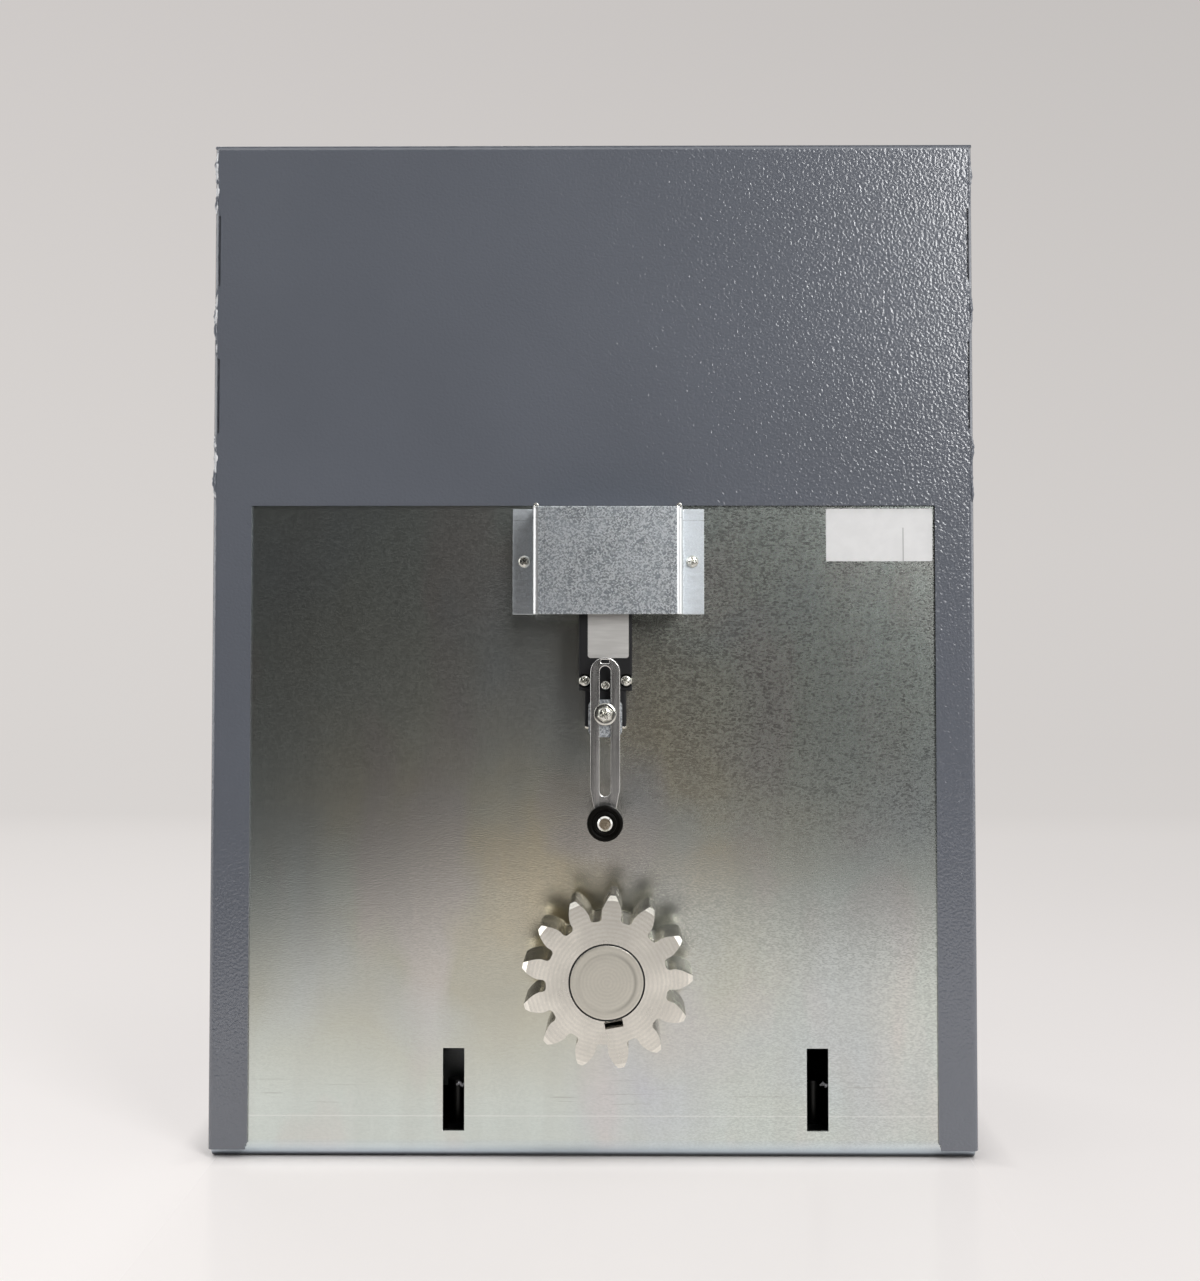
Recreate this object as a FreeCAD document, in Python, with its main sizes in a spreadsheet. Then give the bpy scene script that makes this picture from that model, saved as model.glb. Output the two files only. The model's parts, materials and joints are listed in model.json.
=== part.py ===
import FreeCAD, Part
import math
import os
import re

import Sketcher
from fcgear import fcgear, involute

# Rack-and-pinion operator for a sliding gate.
# Frame: +Z up, +Y away from the gate, +X to the right for someone at the gate.
# The origin is the middle of the base fixing holes, on the underside of the base.

DIMENSIONS = {
    # shared
    "overcut": 1, "run_clearance": 0.06, "screw_slack": 0.4, "round_slack": 0.05,
    # cover, folded from painted sheet
    "cover_width": 438, "cover_depth": 300, "total_height": 581, "sheet": 2, "bend_outer": 3.5,
    "bend_inner": 1.5, "flange_edge": 196.5, "window_top": 371.5, "flange_notch_width": 1.2,
    "flange_notch_height": 3.5, "weld_gap": 1.4, "left_gap_low": 413.5, "left_gap_low_end": 456.5,
    "left_gap_high": 499, "left_gap_high_end": 539.5, "right_gap_low": 415.5, "right_gap_low_end": 466,
    "right_gap_high": 502, "right_gap_high_end": 543.5,
    # chassis, one folded plate
    "plate": 5, "plate_face": 147.5, "plate_top": 390, "base_width": 435.2, "plate_half_width": 215.5,
    "fold_outer": 9, "fold_inner": 4, "lip_top": 34, "cover_screw_x": 150, "cover_screw_z": 20,
    "cover_screw_radius": 3, "cover_screw_head": 6.5, "cover_screw_height": 4, "fixing_x": 170,
    "fixing_y": 100, "fixing_radius": 6.5, "slot_left_x": -79.2, "slot_right_x": 128, "slot_width": 12.2,
    "slot_bottom": 15.6, "slot_top": 62, "level_y": 112, "level_radius": 6, "level_top": 38,
    "level_nut_radius": 10.5, "level_nut_height": 9, "entry_x": 120, "entry_y": 45, "entry_radius": 25,
    "grommet_wall": 4, "grommet_lip": 4, "grommet_edge": 2,
    # pinion and output shaft
    "shaft_x": 9, "shaft_z": 110, "plate_hole_radius": 31, "pinion_teeth": 13, "pinion_module": 6,
    "pinion_shift": 0.25, "pressure_angle": 20, "addendum": 1, "dedendum": 1.25, "root_fillet": 0.38,
    "pinion_front": 217.5, "pinion_width": 50, "tip_chamfer": 2.5, "bore_radius": 20, "bore_chamfer": 0.8,
    "shaft_chamfer": 0.6, "keyway_width": 10, "keyway_reach": 24.5, "keyway_floor": 15, "key_top": 23.2,
    "keyseat_setback": 10, "key_setback": 11, "key_end_gap": 2, "pinion_turn": -80.3, "dish_radius": 15.8,
    "dish_depth": 0.5, "centre_radius": 1.4, "centre_depth": 1.6, "collar_radius": 24,
    "journal_radius": 22.5, "wheel_seat_radius": 25, "shaft_end_gap": 2,
    # gearbox
    "gear_rear": 142, "seal_width": 6, "seal_radius": 32.5, "bearing_width": 19, "bearing_radius": 42.5,
    "chamber_radius": 77, "housing_radius": 88, "housing_front": -8, "centre_distance": 90,
    "wheel_y": -52, "wheel_teeth": 30, "wheel_module": 4.5, "wheel_width": 34, "rim_inner": 50,
    "rim_step": 3, "hub_radius": 35, "hub_length": 64, "wheel_key_width": 14, "wheel_key_reach": 28.8,
    "wheel_key_floor": 19.5, "mesh_slack": 0.5, "tube_radius": 41, "tube_bore": 31, "tube_bottom": 30,
    "tube_floor": 42, "tube_top": 212, "tube_flange": 70, "tube_flange_height": 14,
    "worm_bearing_width": 16, "upper_bearing_z": 178, "worm_radius": 22.5, "worm_start": 68,
    "worm_end": 152, "worm_root_run": 4, "thread_sink": 0.4, "foot_half_x": 71, "foot_rear": -120,
    "foot_front": -22, "foot_height": 14, "pedestal_half_x": 52, "pedestal_inset": 8, "web_half_x": 72,
    "web_top": 60, "web_thickness": 8, "foot_bolt_x": 62, "foot_bolt_inset": 12, "foot_bolt_radius": 5,
    "foot_bolt_head": 9.5, "foot_bolt_height": 6.5, "foot_bolt_end": 0.5, "lid_thickness": 12,
    "boss_radius": 53, "boss_front": 18, "boss_taper": 2, "lid_bolt_circle": 82, "lid_bolt_head": 7.5,
    "lid_bolt_height": 5.5, "lid_bolt_radius": 4, "lid_bolt_length": 26, "plug_x": 30, "plug_y": -70,
    "plug_radius": 9, "plug_height": 10, "plug_collar": 12, "plug_collar_height": 3, "plug_boss": 16,
    "plug_boss_height": 12, "plug_boss_drop": 10,
    # motor
    "motor_base": 239, "motor_top": 417, "frame_bore": 68, "frame_radius": 74, "fin_radius": 85,
    "fin_width": 3, "fin_root": 3, "fin_count": 28, "stator_bore": 46.5, "core_bottom": 267,
    "core_top": 367, "air_gap": 0.6, "winding_height": 16, "winding_inset": 3, "winding_gap": 5,
    "shield_radius": 82, "shield_height": 16, "shield_edge": 12, "spigot": 4, "flange_rim": 8,
    "flange_floor": 10, "bearing_drop": 4, "pocket_wall": 5, "shaft_gap": 1, "motor_bolt_inset": 10,
    "motor_bolt_reach": 6, "motor_bolt_hole": 32, "motor_shaft_radius": 15, "fan_seat_radius": 13,
    "fan_seat_start": 8, "shaft_end": 463, "fan_bottom": 441, "fan_height": 20, "fan_radius": 64,
    "fan_hub": 22, "blade_width": 3, "blade_root": 2, "blade_tip_gap": 1, "blade_count": 8,
    "cowl_radius": 83.5, "cowl_top": 487, "cowl_sheet": 1.5, "cowl_start": 2, "cowl_bevel": 8,
    "cowl_bevel_inner": 8.6, "grille_reach": 60, "grille_pitch": 12, "grille_width": 5, "grille_rows": 4,
    "grille_depth": 6, "pad_half_x": 40, "pad_front": 36, "pad_bottom": 301, "pad_top": 379,
    "terminal_depth": 34, "terminal_half_x": 46, "terminal_overlap": 6, "terminal_lid": 10,
    "terminal_lip": 1.5, "terminal_corner": 5,
    # control box
    "control_left": 42, "control_right": 200, "control_bottom": 226, "control_top": 384,
    "control_depth": 68, "control_wall": 3, "control_lid": 20, "control_corner": 6, "lid_bevel": 2.5,
    "control_screw_inset": 9, "control_screw_head": 5, "control_screw_height": 2, "gland_radius": 12,
    "gland_length": 24, "gland_thread": 9, "gland_bore": 6, "gland_dome": 6, "board_standoff": 6,
    "board_margin": 11, "board_rise": 20, "board_thickness": 1.6, "post_radius": 4, "post_inset": 6,
    "strip_x": 18, "strip_z": 42, "strip_length": 122, "strip_height": 14, "strip_depth": 16,
    "iron_x": 18, "iron_z": 96, "iron_length": 52, "iron_height": 44, "iron_depth": 30, "coil_x": 24,
    "coil_z": 90, "coil_length": 40, "coil_height": 56, "coil_depth": 22, "contactor_x": 80,
    "contactor_z": 84, "contactor_length": 28, "contactor_height": 56, "contactor_depth": 44,
    "contactor_pitch": 32,
    # limit switch and lever
    "switch_x": 7.7, "switch_width": 30, "switch_depth": 22, "switch_bottom": 266, "switch_top": 320.5,
    "switch_lid": 8, "switch_corner": 1.2, "switch_head_width": 23.3, "switch_head_bottom": 246.2,
    "switch_head_back": 150, "nose_radius": 6.5, "nose_height": 0.8, "lever_shaft_radius": 4,
    "lever_shaft_depth": 20, "switch_screw_x": 11.6, "switch_screw_z": 271.6, "switch_screw_head": 3.5,
    "switch_screw_radius": 2, "switch_gland_bore": 5, "switch_gland_neck": 9, "switch_gland_nut": 10.5,
    "switch_gland_seat": 5, "switch_gland_dome": 17, "switch_gland_mouth": 8, "switch_gland_length": 22,
    "switch_gland_y": 15, "pivot_z": 253.3, "lever_half": 8.3, "lever_top": 285, "lever_back": 184.5,
    "lever_thick": 2.5, "lever_slot": 3.05, "lever_slot_low": 207.8, "lever_slot_high": 279.9,
    "taper_top": 212, "tip_half": 6.4, "nib_width": 4.6, "nib_low": 281.7, "nib_high": 283.5,
    "hub_half": 9.4, "hub_low": 240.5, "hub_high": 261.3, "hub_corner": 4, "hub_gap": 0.9,
    "roller_z": 193.4, "roller_radius": 10, "roller_width": 7.5, "roller_gap": 0.5, "roller_rim": 2.2,
    "roller_edge": 0.6, "roller_recess": 0.8, "roller_boss": 5.2, "pin_radius": 2.5, "pin_head": 4.2,
    "pin_slack": 0.4, "pin_head_edge": 0.6, "pin_head_height": 1.4, "pin_head_bevel": 1,
    "washer_radius": 6.25, "washer_height": 1.2, "lever_screw_head": 4.6, "lever_screw_height": 3,
    # switch guard
    "guard_half": 42, "guard_flange": 55, "guard_height": 38, "guard_low": 309, "guard_high": 369.5,
    "guard_sheet": 1.5, "guard_bend": 2.5, "guard_screw_x": 48.2, "guard_screw_z": 339.3,
    "guard_screw_head": 3.6, "guard_screw_height": 2.4, "guard_screw_radius": 2, "relief_radius": 1.2,
    "wire_hole": 9,
    # release hatch and lever
    "hatch_half": 58, "hatch_low": 96, "hatch_high": 244, "door_overlap": 10, "door_sheet": 1.5,
    "door_gap": 0.5, "door_rim": 6, "door_corner": 4, "door_edge": 1.2, "hinge_z": 262, "hinge_y": 154.6,
    "knuckle_radius": 3.6, "hinge_pin": 1.75, "knuckle_length": 24, "knuckle_gap": 0.4, "hinge_tab": 14,
    "lock_z": 112, "lock_radius": 9, "lock_flange": 11.5, "lock_neck": 6, "lock_neck_length": 4,
    "lock_face": 2, "lock_bevel": 1.5, "lock_slot_half": 4, "lock_slot_width": 1.6, "lock_slot_depth": 1,
    "cam_length": 26, "cam_half": 4.5, "cam_thickness": 2.5, "cam_y": 142, "lever_hub_radius": 20,
    "spindle_radius": 9, "spindle_gap": 0.5, "release_y": 22, "release_thick": 12, "release_reach": 118,
    "release_half": 9, "release_step": 4, "arm_root_half": 17, "arm_root": 8, "arm_taper": 46,
    "grip_radius": 12, "grip_skirt": 14, "grip_swell": 20, "grip_length": 66, "grip_dome": 12,
    "grip_edge": 10, "grip_bevel": 3, "grip_lip": 1.5, "grip_bulge": 0.5,
}

doc = FreeCAD.newDocument("gate_operator")
table = doc.addObject("Spreadsheet::Sheet", "dims")
for row, (alias, value) in enumerate(DIMENSIONS.items(), start=1):
    table.set(f"A{row}", alias)
    table.set(f"B{row}", str(value))
    table.setAlias(f"B{row}", alias)
doc.recompute()

NODES = []
WORD = re.compile(r"[A-Za-z_]\w*")
TURNS = {
    "+Z": FreeCAD.Rotation(),
    "-Z": FreeCAD.Rotation(FreeCAD.Vector(1, 0, 0), 180),
    "+Y": FreeCAD.Rotation(FreeCAD.Vector(1, 0, 0), -90),
    "-Y": FreeCAD.Rotation(FreeCAD.Vector(1, 0, 0), 90),
}


# expressions and places

def expression(text):
    """The text with every dimension's name pointed at its cell."""
    return WORD.sub(lambda m: "dims." + m.group() if m.group() in DIMENSIONS else m.group(), str(text))


def number(text):
    """The present value of an expression in dimension names."""
    return float(table.evalExpression(expression(text)))


def bind(item, **sizes):
    for name, text in sizes.items():
        item.setExpression(name, expression(text))


def place(item, point, toward="+Z"):
    """Put an object at a point given as three expressions, its own Z along `toward`."""
    item.Placement = FreeCAD.Placement(FreeCAD.Vector(), TURNS[toward])
    for axis, text in zip("xyz", point):
        item.setExpression(f"Placement.Base.{axis}", expression(text))
    return item


def node(item, label):
    """Name a finished sub-part, so that it is written to its own file."""
    item.Label = label
    NODES.append(item)
    return item


# primitives and booleans

def box(low, high):
    item = doc.addObject("Part::Box", "block")
    for name, start, end in zip(("Length", "Width", "Height"), low, high):
        item.setExpression(name, expression(f"({end}) - ({start})"))
    return place(item, low)


def rod(radius, length, start, toward="+Z"):
    item = doc.addObject("Part::Cylinder", "rod")
    bind(item, Radius=radius, Height=length)
    return place(item, start, toward)


def fuse(items):
    item = doc.addObject("Part::MultiFuse", "fused")
    item.Shapes = items
    item.Refine = True
    return item


def cut(base, tools):
    item = doc.addObject("Part::Cut", "trimmed")
    item.Base = base
    item.Tool = tools[0] if len(tools) == 1 else fuse(tools)
    item.Refine = True
    return item


def group(items):
    """Identical loose pieces that share one node."""
    item = doc.addObject("Part::Compound", "set")
    item.Links = items
    return item


def hexagon(radius, length, start, toward="+Z"):
    item = doc.addObject("Part::Prism", "hexagon")
    item.Polygon = 6
    bind(item, Circumradius=radius, Height=length)
    return place(item, start, toward)


def tube(outer, inner, length, start, toward="+Z"):
    return cut(rod(outer, length, start, toward), [rod(inner, length, start, toward)])


def screw(head, head_height, shank, shank_length, seat, toward, head_form=rod):
    """A headed screw: `seat` is under its head and `toward` is the way the head faces."""
    back = toward.translate(str.maketrans("+-", "-+"))
    return fuse([head_form(head, head_height, seat, toward), rod(shank, shank_length, seat, back)])


# sketched bodies

def new_body():
    return doc.addObject("PartDesign::Body", "body")


def sketch_on(body, role, offset="0"):
    """A sketch on one of the body's own origin planes, moved along that plane's normal."""
    plane = next(f for f in body.Origin.OriginFeatures if f.Role == role)
    drawn = body.newObject("Sketcher::SketchObject", "sketch")
    drawn.AttachmentSupport = [(plane, "")]
    drawn.MapMode = "FlatFace"
    drawn.setExpression("AttachmentOffset.Base.z", expression(offset))
    return drawn


def hold(drawn, geometry, end, point):
    """Fix one end of a sketch edge at a point given as two expressions."""
    for kind, text in zip(("DistanceX", "DistanceY"), point):
        index = drawn.addConstraint(Sketcher.Constraint(kind, -1, 1, geometry, end, number(text)))
        drawn.setExpression(f"Constraints[{index}]", expression(text))


def polygon(drawn, points):
    """A closed run of straight edges through points given as expressions."""
    corners = [FreeCAD.Vector(number(x), number(y), 0) for x, y in points]
    first = drawn.GeometryCount
    total = len(points)
    for i in range(total):
        drawn.addGeometry(Part.LineSegment(corners[i], corners[(i + 1) % total]), False)
    for i in range(total):
        drawn.addConstraint(Sketcher.Constraint("Coincident", first + i, 2, first + (i + 1) % total, 1))
    for i, point in enumerate(points):
        hold(drawn, first + i, 1, point)


def rectangle(drawn, low, high):
    polygon(drawn, [low, (high[0], low[1]), high, (low[0], high[1])])


def circle(drawn, centre, radius):
    middle = FreeCAD.Vector(number(centre[0]), number(centre[1]), 0)
    ring = drawn.addGeometry(Part.Circle(middle, FreeCAD.Vector(0, 0, 1), number(radius)), False)
    hold(drawn, ring, 3, centre)
    index = drawn.addConstraint(Sketcher.Constraint("Radius", ring, number(radius)))
    drawn.setExpression(f"Constraints[{index}]", expression(radius))


def pad(body, drawn, length, midplane=False, flip=False):
    item = body.newObject("PartDesign::Pad", "pad")
    item.Profile = drawn
    item.Midplane = midplane
    item.Reversed = flip
    bind(item, Length=length)
    doc.recompute()
    return item


def pocket(body, drawn, length, midplane=False, flip=False):
    before = body.Shape.Volume
    item = body.newObject("PartDesign::Pocket", "pocket")
    item.Profile = drawn
    item.Midplane = midplane
    item.Reversed = flip
    bind(item, Length=length)
    doc.recompute()
    if body.Shape.Volume >= before:
        raise RuntimeError("a pocket cut nothing")
    return item


def revolved(points, start, toward="+Z"):
    """A turned piece: points are (radius, height) expressions round its own Z axis."""
    body = new_body()
    drawn = sketch_on(body, "XZ_Plane")
    polygon(drawn, points)
    item = body.newObject("PartDesign::Revolution", "turned")
    item.Profile = drawn
    item.ReferenceAxis = (drawn, ["V_Axis"])
    item.Angle = 360
    doc.recompute()
    return place(body, start, toward)


def soften(body, chooser, radius, kind="Fillet"):
    """Round or chamfer the edges of a body's last feature that the chooser accepts."""
    base = body.Tip
    names = [f"Edge{i}" for i, edge in enumerate(base.Shape.Edges, start=1) if chooser(edge)]
    if not names:
        raise RuntimeError("no edge to soften")
    item = body.newObject(f"PartDesign::{kind}", kind.lower())
    item.Base = (base, names)
    bind(item, **{"Radius" if kind == "Fillet" else "Size": radius})
    doc.recompute()
    return item


def edge_at(axis, **at):
    """A chooser for straight edges along an axis whose other coordinates are as given."""
    wanted = {"xyz".index(key): [number(text) for text in texts] for key, texts in at.items()}
    along = "xyz".index(axis)

    def accept(edge):
        ends = [vertex.Point for vertex in edge.Vertexes]
        if len(ends) != 2:
            return False
        run = [abs(a - b) for a, b in zip(*ends)]
        if run[along] < 1e-6 or sum(run) - run[along] > 1e-6:
            return False
        return all(any(abs(ends[0][i] - v) < 1e-4 for v in values) for i, values in wanted.items())

    return accept


def rim_at(axis, text):
    """A chooser for every edge that lies in the plane where one coordinate is as given."""
    value = number(text)
    index = "xyz".index(axis)
    return lambda edge: all(abs(vertex.Point[index] - value) < 1e-4 for vertex in edge.Vertexes)


def block(low, high, radius, along="z"):
    """A box whose edges along one axis are rounded."""
    body = new_body()
    drawn = sketch_on(body, "XY_Plane", low[2])
    rectangle(drawn, low[:2], high[:2])
    pad(body, drawn, f"({high[2]}) - ({low[2]})")
    others = {axis: (low["xyz".index(axis)], high["xyz".index(axis)]) for axis in "xyz" if axis != along}
    soften(body, edge_at(along, **others), radius)
    return body


# gear outlines

def gear_wire(module, teeth, shift):
    """The closed outline of an involute gear with one tooth on its own +X axis."""
    builder = fcgear.FCWireBuilder()
    proportions = [number(name) for name in ("addendum", "dedendum", "root_fillet")]
    involute.CreateExternalGear(builder, module, teeth, number("pressure_angle"), True, *proportions, shift)
    return Part.Wire([curve.toShape() for curve in builder.wire])


def shaped(shape, start, toward="+Z"):
    """A document object for a solid that no feature draws."""
    item = doc.addObject("Part::Feature", "shaped")
    item.Shape = shape
    return place(item, start, toward)


# cover

def cover_wrap():
    """Front, sides and the two back flanges, folded from one sheet, open at the back."""
    body = new_body()
    half, depth = "cover_width / 2", "cover_depth / 2"
    drawn = sketch_on(body, "XY_Plane", "plate")
    left = [("-flange_edge", f"-{depth}"), (f"-{half}", f"-{depth}"), (f"-{half}", depth)]
    right = [(half, depth), (half, f"-{depth}"), ("flange_edge", f"-{depth}")]
    inner_right = [("flange_edge", f"sheet - {depth}"), (f"{half} - sheet", f"sheet - {depth}"),
                   (f"{half} - sheet", f"{depth} - sheet")]
    inner_left = [(f"sheet - {half}", f"{depth} - sheet"), (f"sheet - {half}", f"sheet - {depth}"),
                  ("-flange_edge", f"sheet - {depth}")]
    polygon(drawn, left + right + inner_right + inner_left)
    pad(body, drawn, "total_height - sheet - plate")
    soften(body, edge_at("z", x=(f"-{half}", half), y=(f"-{depth}", depth)), "bend_outer")
    inner_x = (f"sheet - {half}", f"{half} - sheet")
    soften(body, edge_at("z", x=inner_x, y=(f"sheet - {depth}", f"{depth} - sheet")), "bend_inner")
    # the flanges stop at the upper back panel and are nicked at their lower inner corners
    back = sketch_on(body, "XZ_Plane", f"{depth} - sheet")
    for side in ("-", ""):
        rectangle(back, (f"{side}(flange_edge - overcut)", "window_top"),
                  (f"{side}({half} - sheet)", "total_height"))
        rectangle(back, (f"{side}(flange_edge - overcut)", "plate - overcut"),
                  (f"{side}(flange_edge + flange_notch_width)", "plate + flange_notch_height"))
    pocket(body, back, "sheet * 2", flip=True)
    front = sketch_on(body, "XZ_Plane", f"sheet + overcut - {depth}")
    rectangle(front, ("shaft_x - hatch_half", "hatch_low"), ("shaft_x + hatch_half", "hatch_high"))
    for side in ("-", ""):
        slack = "(cover_screw_radius + screw_slack)"
        rectangle(front, (f"{side}cover_screw_x - {slack}", "plate - overcut"),
                  (f"{side}cover_screw_x + {slack}", f"cover_screw_z + {slack}"))
    pocket(body, front, "sheet + overcut * 2")
    return body


def cover_top():
    """Top and upper back panel, folded from one sheet and welded into the wrap."""
    body = new_body()
    depth = "cover_depth / 2"
    drawn = sketch_on(body, "YZ_Plane")
    polygon(drawn, [(f"-{depth}", "window_top"), (f"-{depth}", "total_height"), (depth, "total_height"),
                    (depth, "total_height - sheet"), (f"sheet - {depth}", "total_height - sheet"),
                    (f"sheet - {depth}", "window_top")])
    pad(body, drawn, "cover_width", midplane=True)
    soften(body, edge_at("x", y=(f"-{depth}",), z=("total_height",)), "bend_outer")
    soften(body, edge_at("x", y=(f"sheet - {depth}",), z=("total_height - sheet",)), "bend_inner")
    # the panel fits between the side walls, with open gaps between the stitch welds
    seam, open_seam = "(cover_width / 2 - sheet)", "(cover_width / 2 - sheet - weld_gap)"
    sides = sketch_on(body, "XZ_Plane", f"{depth} - sheet")
    for sign, side in (("-", "left"), ("", "right")):
        edge = [("window_top - overcut", seam)]
        for gap in ("low", "high"):
            start, end = f"{side}_gap_{gap}", f"{side}_gap_{gap}_end"
            edge += [(start, seam), (start, open_seam), (end, open_seam), (end, seam)]
        edge += [("total_height - sheet", seam), ("total_height - sheet", "cover_width / 2 + overcut"),
                 ("window_top - overcut", "cover_width / 2 + overcut")]
        polygon(sides, [(f"{sign}({x})", z) for z, x in edge])
    pocket(body, sides, "sheet * 4", midplane=True)
    return body


# chassis

def chassis_plate():
    """One plate folded into a back plate, a base and a front lip."""
    body = new_body()
    drawn = sketch_on(body, "YZ_Plane")
    polygon(drawn, [("-plate_face", "plate_top"), ("-plate_face", "0"), ("plate_face", "0"),
                    ("plate_face", "lip_top"), ("plate_face - plate", "lip_top"),
                    ("plate_face - plate", "plate"), ("plate - plate_face", "plate"),
                    ("plate - plate_face", "plate_top")])
    pad(body, drawn, "base_width", midplane=True)
    soften(body, edge_at("x", y=("-plate_face", "plate_face"), z=("0",)), "fold_outer")
    soften(body, edge_at("x", y=("plate - plate_face", "plate_face - plate"), z=("plate",)), "fold_inner")
    sides = sketch_on(body, "XZ_Plane")
    for sign in ("-", ""):
        rectangle(sides, (f"{sign}plate_half_width", "plate"), (f"{sign}base_width", "plate_top + overcut"))
    pocket(body, sides, "cover_depth", midplane=True)
    back = sketch_on(body, "XZ_Plane", "plate_face - plate")
    circle(back, ("shaft_x", "shaft_z"), "plate_hole_radius")
    circle(back, ("shaft_x", "guard_screw_z"), "wire_hole")
    for x in ("slot_left_x", "slot_right_x"):
        rectangle(back, (f"{x} - slot_width / 2", "slot_bottom"), (f"{x} + slot_width / 2", "slot_top"))
    for sign in ("-", "+"):
        circle(back, (f"shaft_x {sign} guard_screw_x", "guard_screw_z"), "guard_screw_radius")
        circle(back, (f"switch_x {sign} switch_screw_x", "switch_screw_z"), "switch_screw_radius")
    pocket(body, back, "plate * 2", flip=True)
    front = sketch_on(body, "XZ_Plane", "plate - plate_face")
    for sign in ("-", ""):
        circle(front, (f"{sign}cover_screw_x", "cover_screw_z"), "cover_screw_radius")
    pocket(body, front, "plate * 2")
    base = sketch_on(body, "XY_Plane", "plate")
    circle(base, ("entry_x", "entry_y"), "entry_radius")
    for sign in ("-", ""):
        for x in ("slot_left_x", "slot_right_x"):
            circle(base, (x, f"{sign}level_y"), "level_radius")
        for other in ("-", ""):
            circle(base, (f"{sign}fixing_x", f"{other}fixing_y"), "fixing_radius")
    for x, y in foot_bolt_places():
        circle(base, (x, y), "foot_bolt_radius")
    pocket(body, base, "plate * 2")
    return body


def foot_bolt_places():
    return [(f"shaft_x {sign} foot_bolt_x", y) for sign in ("-", "+")
            for y in ("foot_rear + foot_bolt_inset", "foot_front - foot_bolt_inset")]


def level_places():
    return [(x, f"{sign}level_y") for x in ("slot_left_x", "slot_right_x") for sign in ("-", "")]


def levelling_screws():
    return group([rod("level_radius", "level_top", (x, y, "0")) for x, y in level_places()])


def levelling_nuts():
    return group([cut(hexagon("level_nut_radius", "level_nut_height", (x, y, "plate")),
                      [rod("level_radius", "level_nut_height", (x, y, "plate"))]) for x, y in level_places()])


def cable_grommet():
    """Rubber edging of the cable entry, gripping the base between two lips."""
    inner = "entry_radius - grommet_wall"
    outer = "entry_radius + grommet_lip"
    low, high = "grommet_edge / 4", "plate + grommet_edge"
    return revolved([(inner, low), ("entry_radius", low), ("entry_radius", "plate"), (outer, "plate"),
                     (outer, high), (inner, high)],
                    ("entry_x", "entry_y", "0"))


def cover_screws():
    seat = "cover_depth / 2 + screw_slack"
    length = f"{seat} - plate_face + plate"
    return group([screw("cover_screw_head", "cover_screw_height", "cover_screw_radius", length,
                        (f"{sign}cover_screw_x", seat, "cover_screw_z"), "+Y") for sign in ("-", "")])


# limit switch and its guard

def switch_guard():
    """Hat-shaped sheet cover over the cable end of the limit switch, closed at the top."""
    body = new_body()
    top = "guard_high - guard_sheet"
    wall, face = "-plate_face", "-(plate_face + guard_height)"
    hat = []
    for sign in ("-", "+"):
        edge, corner = f"shaft_x {sign} guard_flange", f"shaft_x {sign} guard_half"
        skin = f"{wall} - guard_sheet"
        side = [(edge, wall), (edge, skin), (corner, skin), (corner, face)]
        hat += side if sign == "-" else side[::-1]
    for sign in ("+", "-"):
        inner = f"shaft_x {sign} (guard_half - guard_sheet)"
        side = [(inner, wall), (inner, f"{face} + guard_sheet")]
        hat += side if sign == "+" else side[::-1]
    drawn = sketch_on(body, "XY_Plane", "guard_low")
    polygon(drawn, hat)
    pad(body, drawn, "guard_high - guard_low")
    soften(body, edge_at("z", x=("shaft_x - guard_half", "shaft_x + guard_half"), y=(face,)), "guard_bend")
    inner_x = ("shaft_x - guard_half + guard_sheet", "shaft_x + guard_half - guard_sheet")
    soften(body, edge_at("z", x=inner_x, y=(f"{face} + guard_sheet",)), "guard_bend - guard_sheet")
    lid = sketch_on(body, "XY_Plane", top)
    rectangle(lid, ("shaft_x - guard_half + guard_sheet / 2", wall),
              ("shaft_x + guard_half - guard_sheet / 2", f"{face} + guard_sheet / 2"))
    pad(body, lid, "guard_sheet")
    holes = sketch_on(body, "XZ_Plane", "plate_face")
    for sign in ("-", "+"):
        circle(holes, (f"shaft_x {sign} guard_screw_x", "guard_screw_z"), "guard_screw_radius")
    pocket(body, holes, "guard_sheet * 2", flip=True)
    relief = sketch_on(body, "XZ_Plane", "plate_face + guard_height - guard_bend")
    for sign in ("-", "+"):
        circle(relief, (f"shaft_x {sign} guard_half", "guard_high"), "relief_radius")
    pocket(body, relief, "guard_bend * 2", flip=True)
    return body


def guard_screws():
    seat, length = "-(plate_face + guard_sheet)", "guard_sheet + plate"
    return group([screw("guard_screw_head", "guard_screw_height", "guard_screw_radius", length,
                        (f"shaft_x {sign} guard_screw_x", seat, "guard_screw_z"), "-Y")
                  for sign in ("-", "+")])


def switch_part(half, back, depth, low, high):
    """A moulded block of the switch, standing off the plate by `back`."""
    low_corner = (f"switch_x - {half}", f"-({back} + {depth})", low)
    return block(low_corner, (f"switch_x + {half}", f"-({back})", high), "switch_corner")


def switch_screw_places():
    return [(f"switch_x {sign} switch_screw_x", "switch_screw_z") for sign in ("-", "+")]


def switch_body():
    half = "switch_width / 2"
    body = switch_part(half, "plate_face", "switch_depth", "switch_bottom", "switch_top")
    holes = sketch_on(body, "XZ_Plane", "plate_face")
    for place_of in switch_screw_places():
        circle(holes, place_of, "switch_screw_radius")
    pocket(body, holes, "switch_depth * 2", midplane=True)
    return body


def switch_lid():
    body = switch_part("switch_width / 2", "plate_face + switch_depth", "switch_lid",
                       "switch_bottom", "switch_top")
    corners = sketch_on(body, "XZ_Plane", "plate_face + switch_depth")
    reach = "(switch_screw_head + screw_slack)"
    for x, z in switch_screw_places():
        circle(corners, (x, z), reach)
    pocket(body, corners, "switch_lid * 2", flip=True)
    return body


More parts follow.
